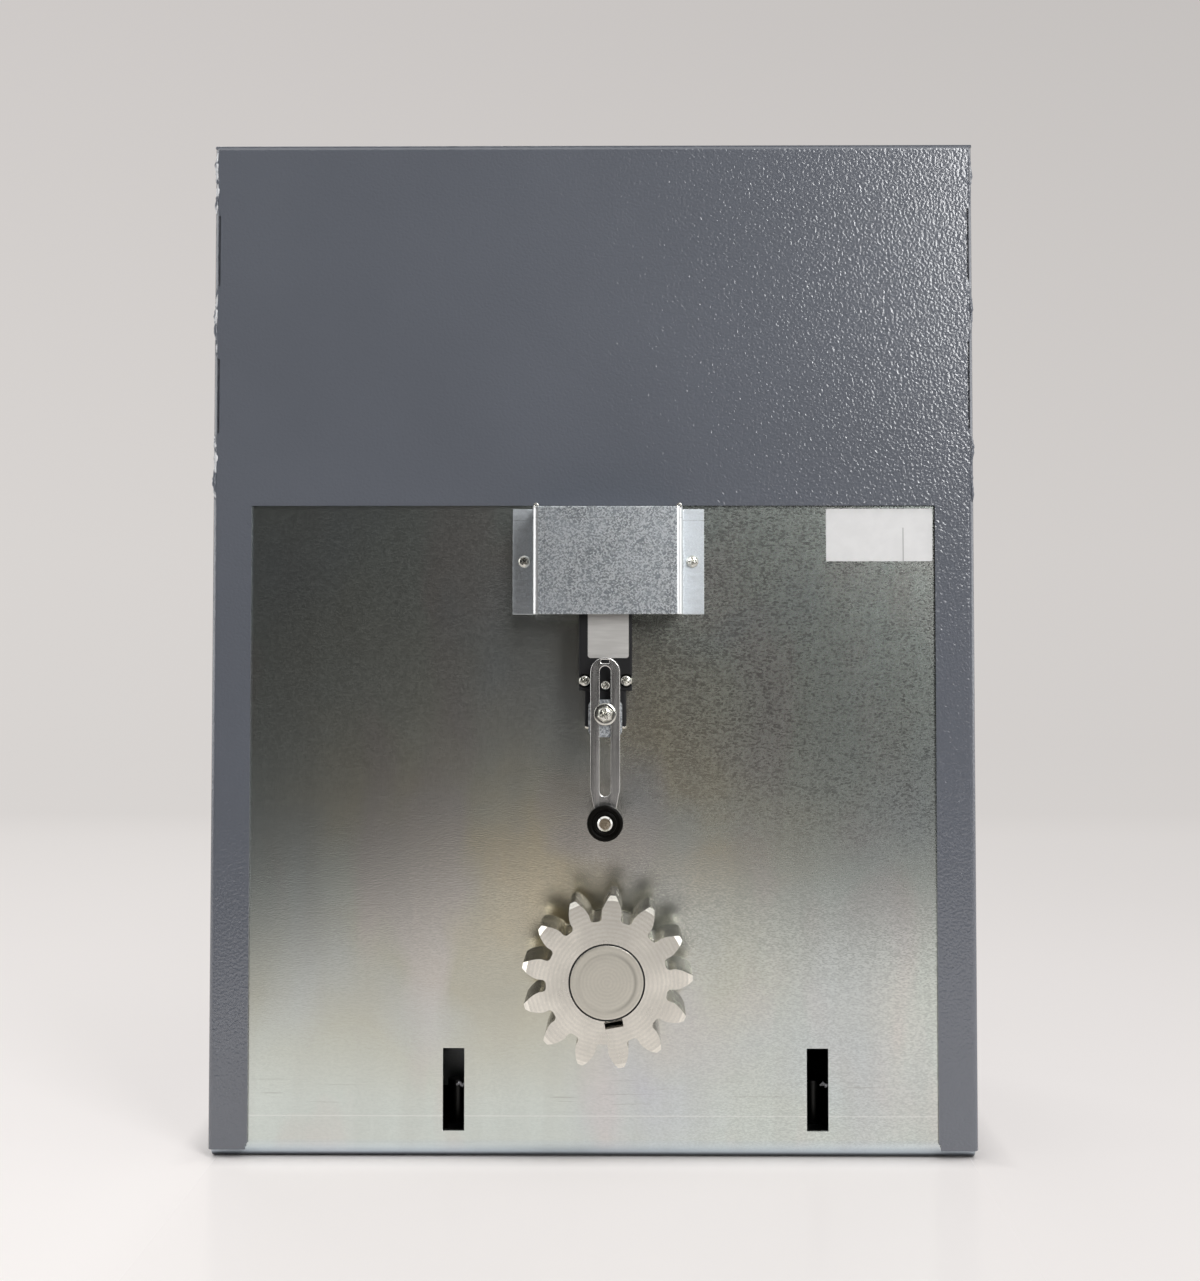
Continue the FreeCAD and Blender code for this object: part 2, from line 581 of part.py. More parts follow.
def switch_head():
    """Rotary head below the body, with a bored nose for the lever's shaft."""
    front = "plate_face + switch_depth + switch_lid"
    body = switch_part("switch_head_width / 2", "switch_head_back", f"{front} - switch_head_back",
                       "switch_head_bottom", "switch_bottom")
    nose = sketch_on(body, "XZ_Plane", front)
    circle(nose, ("switch_x", "pivot_z"), "nose_radius")
    pad(body, nose, "nose_height")
    bore = sketch_on(body, "XZ_Plane", f"{front} + overcut")
    circle(bore, ("switch_x", "pivot_z"), "lever_shaft_radius + run_clearance")
    pocket(body, bore, "lever_shaft_depth + overcut * 2")
    return body


def switch_screws():
    seat = "-(plate_face + switch_depth)"
    height, length = "switch_lid - overcut", "switch_depth + plate"
    return group([screw("switch_screw_head", height, "switch_screw_radius", length, (x, seat, z), "-Y")
                  for x, z in switch_screw_places()])


def switch_gland():
    """Short gland and dome nut on the cable end of the switch, under the guard."""
    bore, neck, nut = "switch_gland_bore", "switch_gland_neck", "switch_gland_nut"
    return revolved([(bore, "0"), (neck, "0"), (neck, "switch_gland_seat"), (nut, "switch_gland_seat"),
                     (nut, "switch_gland_dome"), ("switch_gland_mouth", "switch_gland_length"),
                     (bore, "switch_gland_length")],
                    ("switch_x", "-(plate_face + switch_gland_y)", "switch_top"))


def lever_shaft():
    front = "plate_face + switch_depth + switch_lid"
    return rod("lever_shaft_radius", f"lever_back - ({front}) + lever_shaft_depth",
               ("switch_x", f"lever_shaft_depth - ({front})", "pivot_z"), "-Y")


def lever_hub():
    """Clamp block between the switch shaft and the slotted lever."""
    front = "plate_face + switch_depth + switch_lid"
    body = block(("switch_x - hub_half", "-lever_back", "hub_low"),
                 ("switch_x + hub_half", f"-({front} + hub_gap)", "hub_high"), "hub_corner", along="y")
    bore = sketch_on(body, "XZ_Plane", "lever_back")
    circle(bore, ("switch_x", "pivot_z"), "lever_shaft_radius")
    pocket(body, bore, "lever_back", midplane=True)
    return body


def lever_arm():
    """Slotted flat lever with a round upper end and a narrower end for the roller."""
    body = new_body()
    drawn = sketch_on(body, "XZ_Plane", "lever_back")
    outline = [("tip_half", "roller_z - tip_half"), ("tip_half", "roller_z + lever_half"),
               ("lever_half", "taper_top"), ("lever_half", "lever_top")]
    left = [(f"switch_x - {half}", z) for half, z in outline]
    right = [(f"switch_x + {half}", z) for half, z in outline]
    polygon(drawn, left[::-1] + right)
    pad(body, drawn, "lever_thick")
    soften(body, edge_at("y", x=("switch_x - lever_half", "switch_x + lever_half"), z=("lever_top",)),
           "lever_half - round_slack")
    soften(body, edge_at("y", x=("switch_x - tip_half", "switch_x + tip_half"), z=("roller_z - tip_half",)),
           "tip_half - round_slack")
    holes = sketch_on(body, "XZ_Plane", "lever_back")
    rectangle(holes, ("switch_x - lever_slot", "lever_slot_low"),
              ("switch_x + lever_slot", "lever_slot_high"))
    rectangle(holes, ("switch_x - nib_width / 2", "nib_low"), ("switch_x + nib_width / 2", "nib_high"))
    circle(holes, ("switch_x", "roller_z"), "pin_radius")
    pocket(body, holes, "lever_thick * 3", midplane=True)
    ends = ("lever_slot_low", "lever_slot_high")
    soften(body, edge_at("y", x=("switch_x - lever_slot", "switch_x + lever_slot"), z=ends),
           "lever_slot - round_slack")
    return body


def lever_screw():
    """Clamp screw with a captive washer."""
    face = "-(lever_back + lever_thick)"
    seat = f"{face} - washer_height"
    back = "-lever_back"
    return fuse([rod("washer_radius", "washer_height", ("switch_x", face, "pivot_z"), "-Y"),
                 rod("lever_screw_head", "lever_screw_height", ("switch_x", seat, "pivot_z"), "-Y"),
                 rod("lever_slot - screw_slack", "lever_thick", ("switch_x", back, "pivot_z"), "-Y")])


def roller():
    """Moulded roller with a raised rim and a recessed web."""
    rim = "roller_radius - roller_rim"
    bore = "pin_radius + run_clearance"
    edge = "roller_radius - roller_edge"
    floor = "roller_width - roller_recess"
    return revolved([(bore, "0"), (edge, "0"), ("roller_radius", "roller_edge"),
                     ("roller_radius", "roller_width - roller_edge"), (edge, "roller_width"),
                     (rim, "roller_width"), (rim, floor), ("roller_boss", floor),
                     ("roller_boss", "roller_width"), (bore, "roller_width")],
                    ("switch_x", "-(lever_back + lever_thick + roller_gap)", "roller_z"), "-Y")


def roller_pin():
    """Rivet through the lever's end, headed in front of the roller."""
    shank = "lever_thick + roller_gap + roller_width + pin_slack"
    top = f"{shank} + pin_head_height"
    return revolved([("0", "0"), ("pin_radius", "0"), ("pin_radius", shank), ("pin_head", shank),
                     ("pin_head", f"{shank} + pin_head_edge"), ("pin_head - pin_head_bevel", top),
                     ("0", top)], ("switch_x", "-lever_back", "roller_z"), "-Y")


# pinion and output shaft

def turned_key(width, floor, top, start, length, turn):
    """A parallel key, `turn` degrees from +X round the output shaft, running towards the gate."""
    item = doc.addObject("Part::Box", "key")
    bind(item, Length=f"{top} - {floor}", Width=width, Height=length)
    place(item, (f"shaft_x + {floor} * cos({turn}) + {width} / 2 * sin({turn})", start,
                 f"shaft_z + {floor} * sin({turn}) - {width} / 2 * cos({turn})"), "-Y")
    item.Placement.Rotation = TURNS["-Y"] * FreeCAD.Rotation(FreeCAD.Vector(0, 0, 1), number(turn))
    return item


def pinion():
    """Involute pinion with chamfered tips, a mouth chamfer and an open keyway."""
    wire = gear_wire(number("pinion_module"), int(number("pinion_teeth")), number("pinion_shift"))
    wire.rotate(FreeCAD.Vector(), FreeCAD.Vector(0, 0, 1), number("pinion_turn"))
    rear = ("shaft_x", "pinion_width - pinion_front", "shaft_z")
    teeth = shaped(Part.Face(wire).extrude(FreeCAD.Vector(0, 0, number("pinion_width"))), rear, "-Y")
    tip = "(pinion_module * (pinion_teeth / 2 + 1 + pinion_shift))"
    back, front = "0", "pinion_width"
    blank = revolved([("bore_radius", back), (f"{tip} - tip_chamfer", back), (tip, f"{back} + tip_chamfer"),
                      (tip, f"{front} - tip_chamfer"), (f"{tip} - tip_chamfer", front),
                      ("bore_radius + bore_chamfer", front), ("bore_radius", f"{front} - bore_chamfer")],
                     rear, "-Y")
    common = doc.addObject("Part::Common", "toothed")
    common.Base = teeth
    common.Tool = blank
    keyway = turned_key("keyway_width", "keyway_floor", "keyway_reach", rear[1], "pinion_width",
                        "pinion_turn")
    return cut(common, [keyway])


def output_shaft():
    """Turned shaft from the pinion's face, through the plate and both bearings."""
    flush = "pinion_front"
    steps = [("0", "centre_depth"), ("centre_radius", "dish_depth"),
             ("dish_radius - dish_depth", "dish_depth"), ("dish_radius", "0"),
             ("bore_radius - shaft_chamfer", "0"), ("bore_radius", "shaft_chamfer"),
             ("bore_radius", "pinion_width"), ("collar_radius", "pinion_width"),
             ("collar_radius", f"{flush} - gear_rear + seal_width"),
             ("journal_radius", f"{flush} - gear_rear + seal_width"),
             ("journal_radius", f"{flush} - gear_rear + seal_width + bearing_width"),
             ("wheel_seat_radius", f"{flush} - gear_rear + seal_width + bearing_width"),
             ("wheel_seat_radius", f"{flush} + housing_front"),
             ("journal_radius", f"{flush} + housing_front"),
             ("journal_radius", f"{flush} + housing_front + bearing_width - shaft_end_gap"),
             ("0", f"{flush} + housing_front + bearing_width - shaft_end_gap")]
    turned = revolved(steps, ("shaft_x", f"-{flush}", "shaft_z"), "+Y")
    # the pinion's keyseat stops short of the end face
    seats = [turned_key("keyway_width", "keyway_floor", "keyway_reach", "pinion_width - pinion_front",
                        "pinion_width - keyseat_setback", "pinion_turn"),
             turned_key("wheel_key_width", "wheel_key_floor", "wheel_key_reach", "wheel_y + hub_length / 2",
                        "hub_length", "90")]
    return cut(turned, seats)


def pinion_key():
    return turned_key("keyway_width", "keyway_floor", "key_top", "pinion_width - pinion_front - key_end_gap",
                      "pinion_width - key_setback - key_end_gap", "pinion_turn")


def wheel_key():
    return turned_key("wheel_key_width", "wheel_key_floor", "wheel_key_reach", "wheel_y + hub_length / 2",
                      "hub_length", "90")


def wheel_hub():
    """Cast hub of the worm wheel, with a flange that carries the bronze rim."""
    half, web = "hub_length / 2", "wheel_width / 2 - rim_step"
    turned = revolved([("wheel_seat_radius", f"-({half})"), ("hub_radius", f"-({half})"),
                       ("hub_radius", f"-({web})"), ("rim_inner", f"-({web})"), ("rim_inner", web),
                       ("hub_radius", web), ("hub_radius", half), ("wheel_seat_radius", half)],
                      ("shaft_x", "wheel_y", "shaft_z"), "-Y")
    return cut(turned, [wheel_key()])


def wheel_rim():
    """Bronze helical rim, twisted by the worm's lead angle across its width."""
    module, teeth = number("wheel_module"), int(number("wheel_teeth"))
    width = number("wheel_width")
    lead = math.pi * module * teeth * 2 * number("worm_radius") / module
    twist = 360 * width / lead
    wires = []
    for share in (-0.5, 0.5):
        wire = gear_wire(module, teeth, -number("mesh_slack") / 4)
        wire.rotate(FreeCAD.Vector(), FreeCAD.Vector(0, 0, 1), 180 + 180 / teeth + twist * share)
        wire.translate(FreeCAD.Vector(0, 0, width * share))
        wires.append(wire)
    toothed = shaped(Part.makeLoft(wires, True, True), ("shaft_x", "wheel_y", "shaft_z"), "-Y")
    bore = rod("rim_inner", "wheel_width * 2", ("shaft_x", "wheel_y + wheel_width", "shaft_z"), "-Y")
    return cut(toothed, [bore])


# gearbox

def foot_web():
    """Upright web of the casting between its feet and the wheel chamber."""
    body = new_body()
    drawn = sketch_on(body, "XZ_Plane", "-(foot_rear + foot_front) / 2")
    polygon(drawn, [("shaft_x - foot_half_x", "plate"), ("shaft_x + foot_half_x", "plate"),
                    ("shaft_x + web_half_x", "web_top"), ("shaft_x - web_half_x", "web_top")])
    pad(body, drawn, "web_thickness", midplane=True)
    return body


def gearbox_housing():
    """Cast housing: wheel chamber, worm tube with its motor flange, pedestal, web and feet."""
    rear, depth = "-gear_rear", "gear_rear + housing_front"
    seat = "seal_width - gear_rear"
    plug = ("shaft_x + plug_x", "plug_y", "shaft_z + housing_radius - plug_boss_drop")
    shell = fuse([
        rod("housing_radius", depth, ("shaft_x", rear, "shaft_z"), "+Y"),
        rod("tube_radius", "tube_top - tube_bottom", (*worm_axis(), "tube_bottom")),
        rod("tube_flange", "tube_flange_height", (*worm_axis(), "tube_top - tube_flange_height")),
        box(("shaft_x - pedestal_half_x", "foot_rear + pedestal_inset", "plate"),
            ("shaft_x + pedestal_half_x", "foot_front - pedestal_inset", "shaft_z")),
        box(("shaft_x - foot_half_x", "foot_rear", "plate"),
            ("shaft_x + foot_half_x", "foot_front", "plate + foot_height")),
        foot_web(),
        rod("plug_boss", "plug_boss_height", plug),
    ])
    hollows = [
        rod("chamber_radius", depth, ("shaft_x", f"{seat} + bearing_width", "shaft_z"), "+Y"),
        rod("bearing_radius", "bearing_width + overcut", ("shaft_x", seat, "shaft_z"), "+Y"),
        rod("seal_radius", "seal_width + overcut", ("shaft_x", rear, "shaft_z"), "+Y"),
        rod("tube_bore", "tube_top", (*worm_axis(), "tube_floor")),
    ]
    hollows += [rod("foot_bolt_radius", "foot_height * 3", (x, y, "-plate")) for x, y in foot_bolt_places()]
    hollows += lid_bolt_holes() + motor_bolt_holes()
    return cut(shell, hollows)


def around(radius, count, offset=0.0):
    """Expressions of evenly spaced places on a circle."""
    turns = [offset + 360 / count * i for i in range(count)]
    return [(f"{radius} * cos({turn})", f"{radius} * sin({turn})") for turn in turns]


def lid_bolt_places():
    return [(f"shaft_x + {x}", f"shaft_z + {z}") for x, z in around("lid_bolt_circle", 6, 30)]


def lid_bolt_holes():
    return [rod("lid_bolt_radius", "lid_bolt_length", (x, "housing_front + lid_thickness", z), "-Y")
            for x, z in lid_bolt_places()]


def motor_bolt_places():
    middle_x, middle_y = worm_axis()
    ring = around("(tube_flange - motor_bolt_inset)", 4, 45)
    return [(f"{middle_x} + {x}", f"{middle_y} + {y}") for x, y in ring]


def motor_bolt_holes():
    start = "tube_top - tube_flange_height"
    return [rod("lid_bolt_radius", "motor_bolt_hole", (x, y, start)) for x, y in motor_bolt_places()]


def gearbox_lid():
    """Front lid with the second bearing's boss and a bore for the release spindle."""
    reach, face = "housing_front + bearing_width", "housing_front + lid_thickness"
    bore = "spindle_radius + run_clearance"
    turned = revolved([(bore, reach), ("bearing_radius", reach), ("bearing_radius", "housing_front"),
                       ("housing_radius", "housing_front"), ("housing_radius", face), ("boss_radius", face),
                       ("boss_radius - boss_taper", "boss_front"), (bore, "boss_front")],
                      ("shaft_x", "0", "shaft_z"), "+Y")
    return cut(turned, lid_bolt_holes())


def gearbox_lid_bolts():
    seat = "housing_front + lid_thickness"
    return group([screw("lid_bolt_head", "lid_bolt_height", "lid_bolt_radius", "lid_bolt_length",
                        (x, seat, z), "+Y", hexagon) for x, z in lid_bolt_places()])


def gearbox_foot_bolts():
    return group([screw("foot_bolt_head", "foot_bolt_height", "foot_bolt_radius",
                        "foot_height + plate - foot_bolt_end", (x, y, "plate + foot_height"), "+Z", hexagon)
                  for x, y in foot_bolt_places()])


def output_seal():
    inner = "collar_radius + run_clearance"
    return tube("seal_radius", inner, "seal_width", ("shaft_x", "-gear_rear", "shaft_z"), "+Y")


def output_bearings():
    inner = "journal_radius + run_clearance"
    starts = ("seal_width - gear_rear", "housing_front")
    return group([tube("bearing_radius", inner, "bearing_width", ("shaft_x", y, "shaft_z"), "+Y")
                  for y in starts])


def worm_bearings():
    """Three like bearings: two for the worm and one in the motor's upper shield."""
    inner = "motor_shaft_radius + run_clearance"
    return group([tube("tube_bore", inner, "worm_bearing_width", (*worm_axis(), z))
                  for z in ("tube_floor", "upper_bearing_z", "motor_top - bearing_drop")])


def worm_axis():
    return ("shaft_x - centre_distance", "wheel_y")


def oil_plug():
    """Hexagon-headed filler plug on top of the housing."""
    seat = ("shaft_x + plug_x", "plug_y", "shaft_z + housing_radius - plug_boss_drop + plug_boss_height")
    return fuse([rod("plug_collar", "plug_collar_height", seat), hexagon("plug_radius", "plug_height", seat)])


# worm shaft, rotor and fan

def worm_shaft():
    """Worm cut on the lower end of the motor's own shaft."""
    module = number("wheel_module")
    pitch = math.pi * module
    mean, root = number("worm_radius"), number("worm_radius - dedendum * wheel_module")
    start, end = number("worm_start"), number("worm_end")
    flank = math.tan(math.radians(number("pressure_angle")))
    half = pitch / 4 - number("mesh_slack") / 2
    sink = number("thread_sink")
    low, high = half + (mean - root + sink) * flank, half - module * flank
    centre = number("shaft_z")
    turns_below = math.floor((centre - start - low) / pitch)
    first = centre - turns_below * pitch
    count = math.floor((end - low - first) / pitch)
    corners = [FreeCAD.Vector(root - sink, 0, first - low), FreeCAD.Vector(mean + module, 0, first - high),
               FreeCAD.Vector(mean + module, 0, first + high), FreeCAD.Vector(root - sink, 0, first + low)]
    profile = Part.makePolygon(corners + corners[:1])
    helix = Part.makeHelix(pitch, pitch * count, mean)
    helix.translate(FreeCAD.Vector(0, 0, first))
    thread = Part.Wire(helix.Edges).makePipeShell([profile], True, True)
    bearing, base = "motor_shaft_radius", "worm_radius - dedendum * wheel_module"
    step = "motor_top + fan_seat_start"
    core = revolved([("0", "tube_floor + shaft_gap"), (bearing, "tube_floor + shaft_gap"),
                     (bearing, "tube_floor + worm_bearing_width"), (base, "worm_start - worm_root_run"),
                     (base, "worm_end + worm_root_run"), (bearing, "upper_bearing_z"), (bearing, step),
                     ("fan_seat_radius", step), ("fan_seat_radius", "shaft_end"), ("0", "shaft_end")],
                    (*worm_axis(), "0"))
    return fuse([core, shaped(thread, (*worm_axis(), "0"))])


def rotor_core():
    length = "core_top - core_bottom"
    return tube("stator_bore - air_gap", "motor_shaft_radius", length, (*worm_axis(), "core_bottom"))


def cooling_fan():
    """Hub and back disc with straight radial blades."""
    body = new_body()
    hub = sketch_on(body, "XY_Plane")
    circle(hub, ("0", "0"), "fan_hub")
    pad(body, hub, "fan_height")
    disc = sketch_on(body, "XY_Plane")
    circle(disc, ("0", "0"), "fan_radius")
    pad(body, disc, "blade_width")
    blade = sketch_on(body, "XY_Plane")
    rectangle(blade, ("fan_hub - blade_root", "-blade_width / 2"),
              ("fan_radius - blade_tip_gap", "blade_width / 2"))
    vane = pad(body, blade, "fan_height")
    wheel = body.newObject("PartDesign::PolarPattern", "vanes")
    wheel.Originals = [vane]
    wheel.Axis = (blade, ["N_Axis"])
    wheel.Angle = 360
    bind(wheel, Occurrences="blade_count")
    body.Tip = wheel
    doc.recompute()
    bore = sketch_on(body, "XY_Plane", "fan_height + overcut")
    circle(bore, ("0", "0"), "fan_seat_radius")
    pocket(body, bore, "fan_height * 2")
    return place(body, (*worm_axis(), "fan_bottom"))


# motor

def motor_flange():
    """Drive-end shield between the gearbox and the motor frame."""
    seal = "motor_shaft_radius + shaft_gap"
    lip, floor = "motor_base + spigot", "motor_base - flange_floor"
    turned = revolved([(seal, "tube_top"), ("tube_flange", "tube_top"),
                       ("tube_flange", "tube_top + flange_rim"), ("shield_radius", "motor_base - flange_rim"),
                       ("shield_radius", "motor_base"), ("frame_bore", "motor_base"), ("frame_bore", lip),
                       ("frame_bore - spigot", lip),
                       ("frame_bore - spigot * 2", floor), (seal, floor)], (*worm_axis(), "0"))
    return cut(turned, motor_bolt_holes())


def motor_flange_bolts():
    seat, length = "tube_top - tube_flange_height", "tube_flange_height + motor_bolt_reach"
    return group([screw("lid_bolt_head", "lid_bolt_height", "lid_bolt_radius", length,
                        (x, y, seat), "-Z", hexagon) for x, y in motor_bolt_places()])


def motor_frame():
    """Finned frame with a flat pad for the terminal box."""
    body = new_body()
    ring = sketch_on(body, "XY_Plane")
    circle(ring, ("0", "0"), "frame_radius")
    pad(body, ring, "motor_top - motor_base")
    fin = sketch_on(body, "XY_Plane")
    rectangle(fin, ("frame_radius - fin_root", "-fin_width / 2"), ("fin_radius", "fin_width / 2"))
    rib = pad(body, fin, "motor_top - motor_base")
    fins = body.newObject("PartDesign::PolarPattern", "fins")
    fins.Originals = [rib]
    fins.Axis = (fin, ["N_Axis"])
    fins.Angle = 360
    bind(fins, Occurrences="fin_count")
    body.Tip = fins
    doc.recompute()
    seat = sketch_on(body, "XY_Plane", "pad_bottom - motor_base")
    rectangle(seat, ("-pad_half_x", "0"), ("pad_half_x", "pad_front - wheel_y"))
    pad(body, seat, "pad_top - pad_bottom")
    bore = sketch_on(body, "XY_Plane", "motor_top")
    circle(bore, ("0", "0"), "frame_bore")
    pocket(body, bore, "motor_top * 2")
    return place(body, (*worm_axis(), "motor_base"))


def stator_core():
    return tube("frame_bore", "stator_bore", "core_top - core_bottom", (*worm_axis(), "core_bottom"))


def stator_windings():
    """The two coil heads that stand out of the stator core."""
    inner, outer = "stator_bore + winding_inset", "frame_bore - winding_gap"
    heads = [("core_bottom - winding_height", "core_bottom"), ("core_top", "core_top + winding_height")]
    return group([revolved([(inner, low), (outer, low), (outer, high), (inner, high)], (*worm_axis(), "0"))
                  for low, high in heads])


def motor_shield():
    """Non-drive end shield with the upper bearing's pocket."""
    run = "motor_shaft_radius + shaft_gap"
    low, edge, top = "motor_top - bearing_drop", "motor_top + shield_edge", "motor_top + shield_height"
    wall = "tube_bore + pocket_wall"
    return revolved([("tube_bore", low), (wall, low), (f"{wall} + pocket_wall", "motor_top"),
                     ("shield_radius", "motor_top"), ("shield_radius", edge), (wall, top), (run, top),
                     (run, edge), ("tube_bore", edge)], (*worm_axis(), "0"))


def fan_cowl():
    """Pressed fan cover with a slotted top."""
    start = "motor_top + cowl_start"
    inner = "cowl_radius - cowl_sheet"
    under = "cowl_top - cowl_sheet"
    shell = revolved([(inner, start), ("cowl_radius", start), ("cowl_radius", "cowl_top - cowl_bevel"),
                      ("cowl_radius - cowl_bevel", "cowl_top"), ("0", "cowl_top"), ("0", under),
                      ("cowl_radius - cowl_bevel_inner", under),
                      (inner, "cowl_top - cowl_bevel_inner")], (*worm_axis(), "0"))
    x, y = worm_axis()
    rows = int(number("grille_rows"))
    slots = []
    for row in range(-rows, rows + 1):
        half = f"sqrt(grille_reach ^ 2 - (grille_pitch * {row}) ^ 2)"
        middle = f"{y} + grille_pitch * {row}"
        slots.append(box((f"{x} - {half}", f"{middle} - grille_width / 2", "cowl_top - grille_depth"),
                         (f"{x} + {half}", f"{middle} + grille_width / 2", "cowl_top + overcut")))
    return cut(shell, slots)


def terminal_span(front, back, grow="0"):
    x = worm_axis()[0]
    return ((f"{x} - terminal_half_x - {grow}", back, "pad_bottom - terminal_overlap"),
            (f"{x} + terminal_half_x + {grow}", front, "pad_top + terminal_overlap"))


def terminal_box():
    low, high = terminal_span("pad_front + terminal_depth", "pad_front")
    return block(low, high, "terminal_corner", along="y")


def terminal_lid():
    front = "pad_front + terminal_depth + terminal_lid"
    low, high = terminal_span(front, "pad_front + terminal_depth", "terminal_lip")
    body = block(low, high, "terminal_corner", along="y")
    soften(body, rim_at("y", front), "lid_bevel", "Chamfer")
    return body


# control box

CONTROL_BACK = "plate - plate_face"
CONTROL_FRONT = "plate - plate_face + control_depth"
BOARD_BACK = "plate - plate_face + control_wall + board_standoff"


def control_box():
    """Moulded tray on the inside of the back plate, with posts for the circuit board."""
    body = block(("control_left", CONTROL_BACK, "control_bottom"),
                 ("control_right", CONTROL_FRONT, "control_top"), "control_corner", along="y")
    hollow = sketch_on(body, "XZ_Plane", f"-({CONTROL_FRONT})")
    rectangle(hollow, ("control_left + control_wall", "control_bottom + control_wall"),
              ("control_right - control_wall", "control_top - control_wall"))
    pocket(body, hollow, "control_depth - control_wall", flip=True)
    posts = sketch_on(body, "XZ_Plane", f"-({CONTROL_BACK} + control_wall)")
    reach = "(board_margin + post_inset)"
    for x in (f"control_left + {reach}", f"control_right - {reach}"):
        for z in (f"control_bottom + {reach} + board_rise", f"control_top - {reach}"):
            circle(posts, (x, z), "post_radius")
    pad(body, posts, "board_standoff", flip=True)
    ports = sketch_on(body, "XY_Plane", "control_bottom - overcut")
    for x, y in gland_places():
        circle(ports, (x, y), "gland_thread")
    pocket(body, ports, "control_wall + overcut * 2", flip=True)
    return body


def gland_places():
    spread = "(control_right - control_left) / 4"
    return [(f"control_left + {spread} * {i}", f"{CONTROL_BACK} + control_depth / 2") for i in (1, 2, 3)]


def control_glands():
    """Cable glands in the floor of the control box."""
    return group([revolved([("gland_bore", "0"), ("gland_thread", "0"), ("gland_thread", "control_wall"),
                            ("gland_radius", "control_wall"), ("gland_radius", "gland_length - gland_dome"),
                            ("gland_thread", "gland_length"), ("gland_bore", "gland_length")],
                           (x, y, "control_bottom + control_wall"), "-Z") for x, y in gland_places()])


def control_lid():
    """Deep lid with a bevelled edge."""
    front = f"{CONTROL_FRONT} + control_lid"
    body = block(("control_left", CONTROL_FRONT, "control_bottom"), ("control_right", front, "control_top"),
                 "control_corner", along="y")
    soften(body, rim_at("y", front), "lid_bevel", "Chamfer")
    return body


def control_lid_screws():
    inset = "control_screw_inset"
    places = [(x, z) for x in (f"control_left + {inset}", f"control_right - {inset}")
              for z in (f"control_bottom + {inset}", f"control_top - {inset}")]
    seat = f"{CONTROL_FRONT} + control_lid"
    return group([rod("control_screw_head", "control_screw_height", (x, seat, z), "+Y") for x, z in places])


def control_board():
    """Circuit board on the tray's posts, with its soldered terminal strip."""
    low = ("control_left + board_margin", BOARD_BACK, "control_bottom + board_margin + board_rise")
    high = ("control_right - board_margin", f"{BOARD_BACK} + board_thickness", "control_top - board_margin")
    card = box(low, high)
    return fuse([card, on_board("strip")])


def on_board(name, shift="0"):
    """A block on the circuit board, placed from the tray's lower left corner by its named dimensions."""
    back = f"{BOARD_BACK} + board_thickness"
    x, z = f"control_left + {name}_x + {shift}", f"control_bottom + {name}_z"
    return box((x, back, z), (f"{x} + {name}_length", f"{back} + {name}_depth", f"{z} + {name}_height"))


def transformer():
    return fuse([on_board("iron"), on_board("coil")])


def contactors():
    return group([on_board("contactor", shift) for shift in ("0", "contactor_pitch")])


# release hatch and lever

def release_door():
    """Weather flap over the release hatch: a shallow tray hung from knuckles along its top."""
    face = "cover_depth / 2 + door_gap"
    low, high = "hatch_low - door_overlap", "hatch_high + door_overlap"
    half = "hatch_half + door_overlap"
    body = block((f"shaft_x - ({half})", face, low), (f"shaft_x + {half}", f"{face} + door_rim", high),
                 "door_corner", along="y")
    soften(body, rim_at("y", f"{face} + door_rim"), "door_edge")
    hollow = sketch_on(body, "XZ_Plane", f"-({face})")
    rectangle(hollow, (f"shaft_x - ({half} - door_sheet)", f"{low} + door_sheet"),
              (f"shaft_x + {half} - door_sheet", f"{high} - door_sheet"))
    pocket(body, hollow, "door_rim - door_sheet")
    hole = sketch_on(body, "XZ_Plane", f"-({face})")
    circle(hole, ("shaft_x", "lock_z"), "lock_radius + run_clearance")
    pocket(body, hole, "door_rim * 2")
    knuckles = [hinge_knuckle(f"shaft_x + {x} - knuckle_length / 2", high, True) for x in hinge_places()]
    return fuse([body] + knuckles)


def hinge_places():
    return ("-hatch_half / 2", "hatch_half / 2")


def along_hinge(radius, length, start):
    """A cylinder on the hinge's axis."""
    item = rod(radius, length, (start, "hinge_y", "hinge_z"))
    item.Placement.Rotation = FreeCAD.Rotation(FreeCAD.Vector(0, 1, 0), 90)
    return item


def hinge_knuckle(start, root, on_door):
    """A rolled knuckle round the hinge pin, with the tongue that joins it to its panel."""
    length = "knuckle_length" if on_door else "knuckle_length / 2"
    roll = along_hinge("knuckle_radius", length, start)
    eye = along_hinge("hinge_pin + run_clearance" if on_door else "hinge_pin", length, start)
    if on_door:
        tongue = box((start, "hinge_y - door_sheet / 2", f"{root} - door_sheet"),
                     (f"{start} + {length}", "hinge_y + door_sheet / 2", "hinge_z - hinge_pin"))
    else:
        tongue = box((start, "cover_depth / 2", "hinge_z"),
                     (f"{start} + {length}", "hinge_y - hinge_pin - door_sheet / 2", "hinge_z + hinge_tab"))
    return cut(fuse([roll, tongue]), [eye])


def hinge_leaves():
    """Fixed knuckles beside the flap's own, on tabs welded to the cover's front."""
    leaves = []
    for x in hinge_places():
        leaves.append(hinge_knuckle(f"shaft_x + {x} - knuckle_length - knuckle_gap", "hinge_z", False))
        leaves.append(hinge_knuckle(f"shaft_x + {x} + knuckle_length / 2 + knuckle_gap", "hinge_z", False))
    return group(leaves)


def hinge_pins():
    length = "knuckle_length * 2 + knuckle_gap * 2"
    return group([along_hinge("hinge_pin", length, f"shaft_x + {x} - knuckle_length - knuckle_gap")
                  for x in hinge_places()])


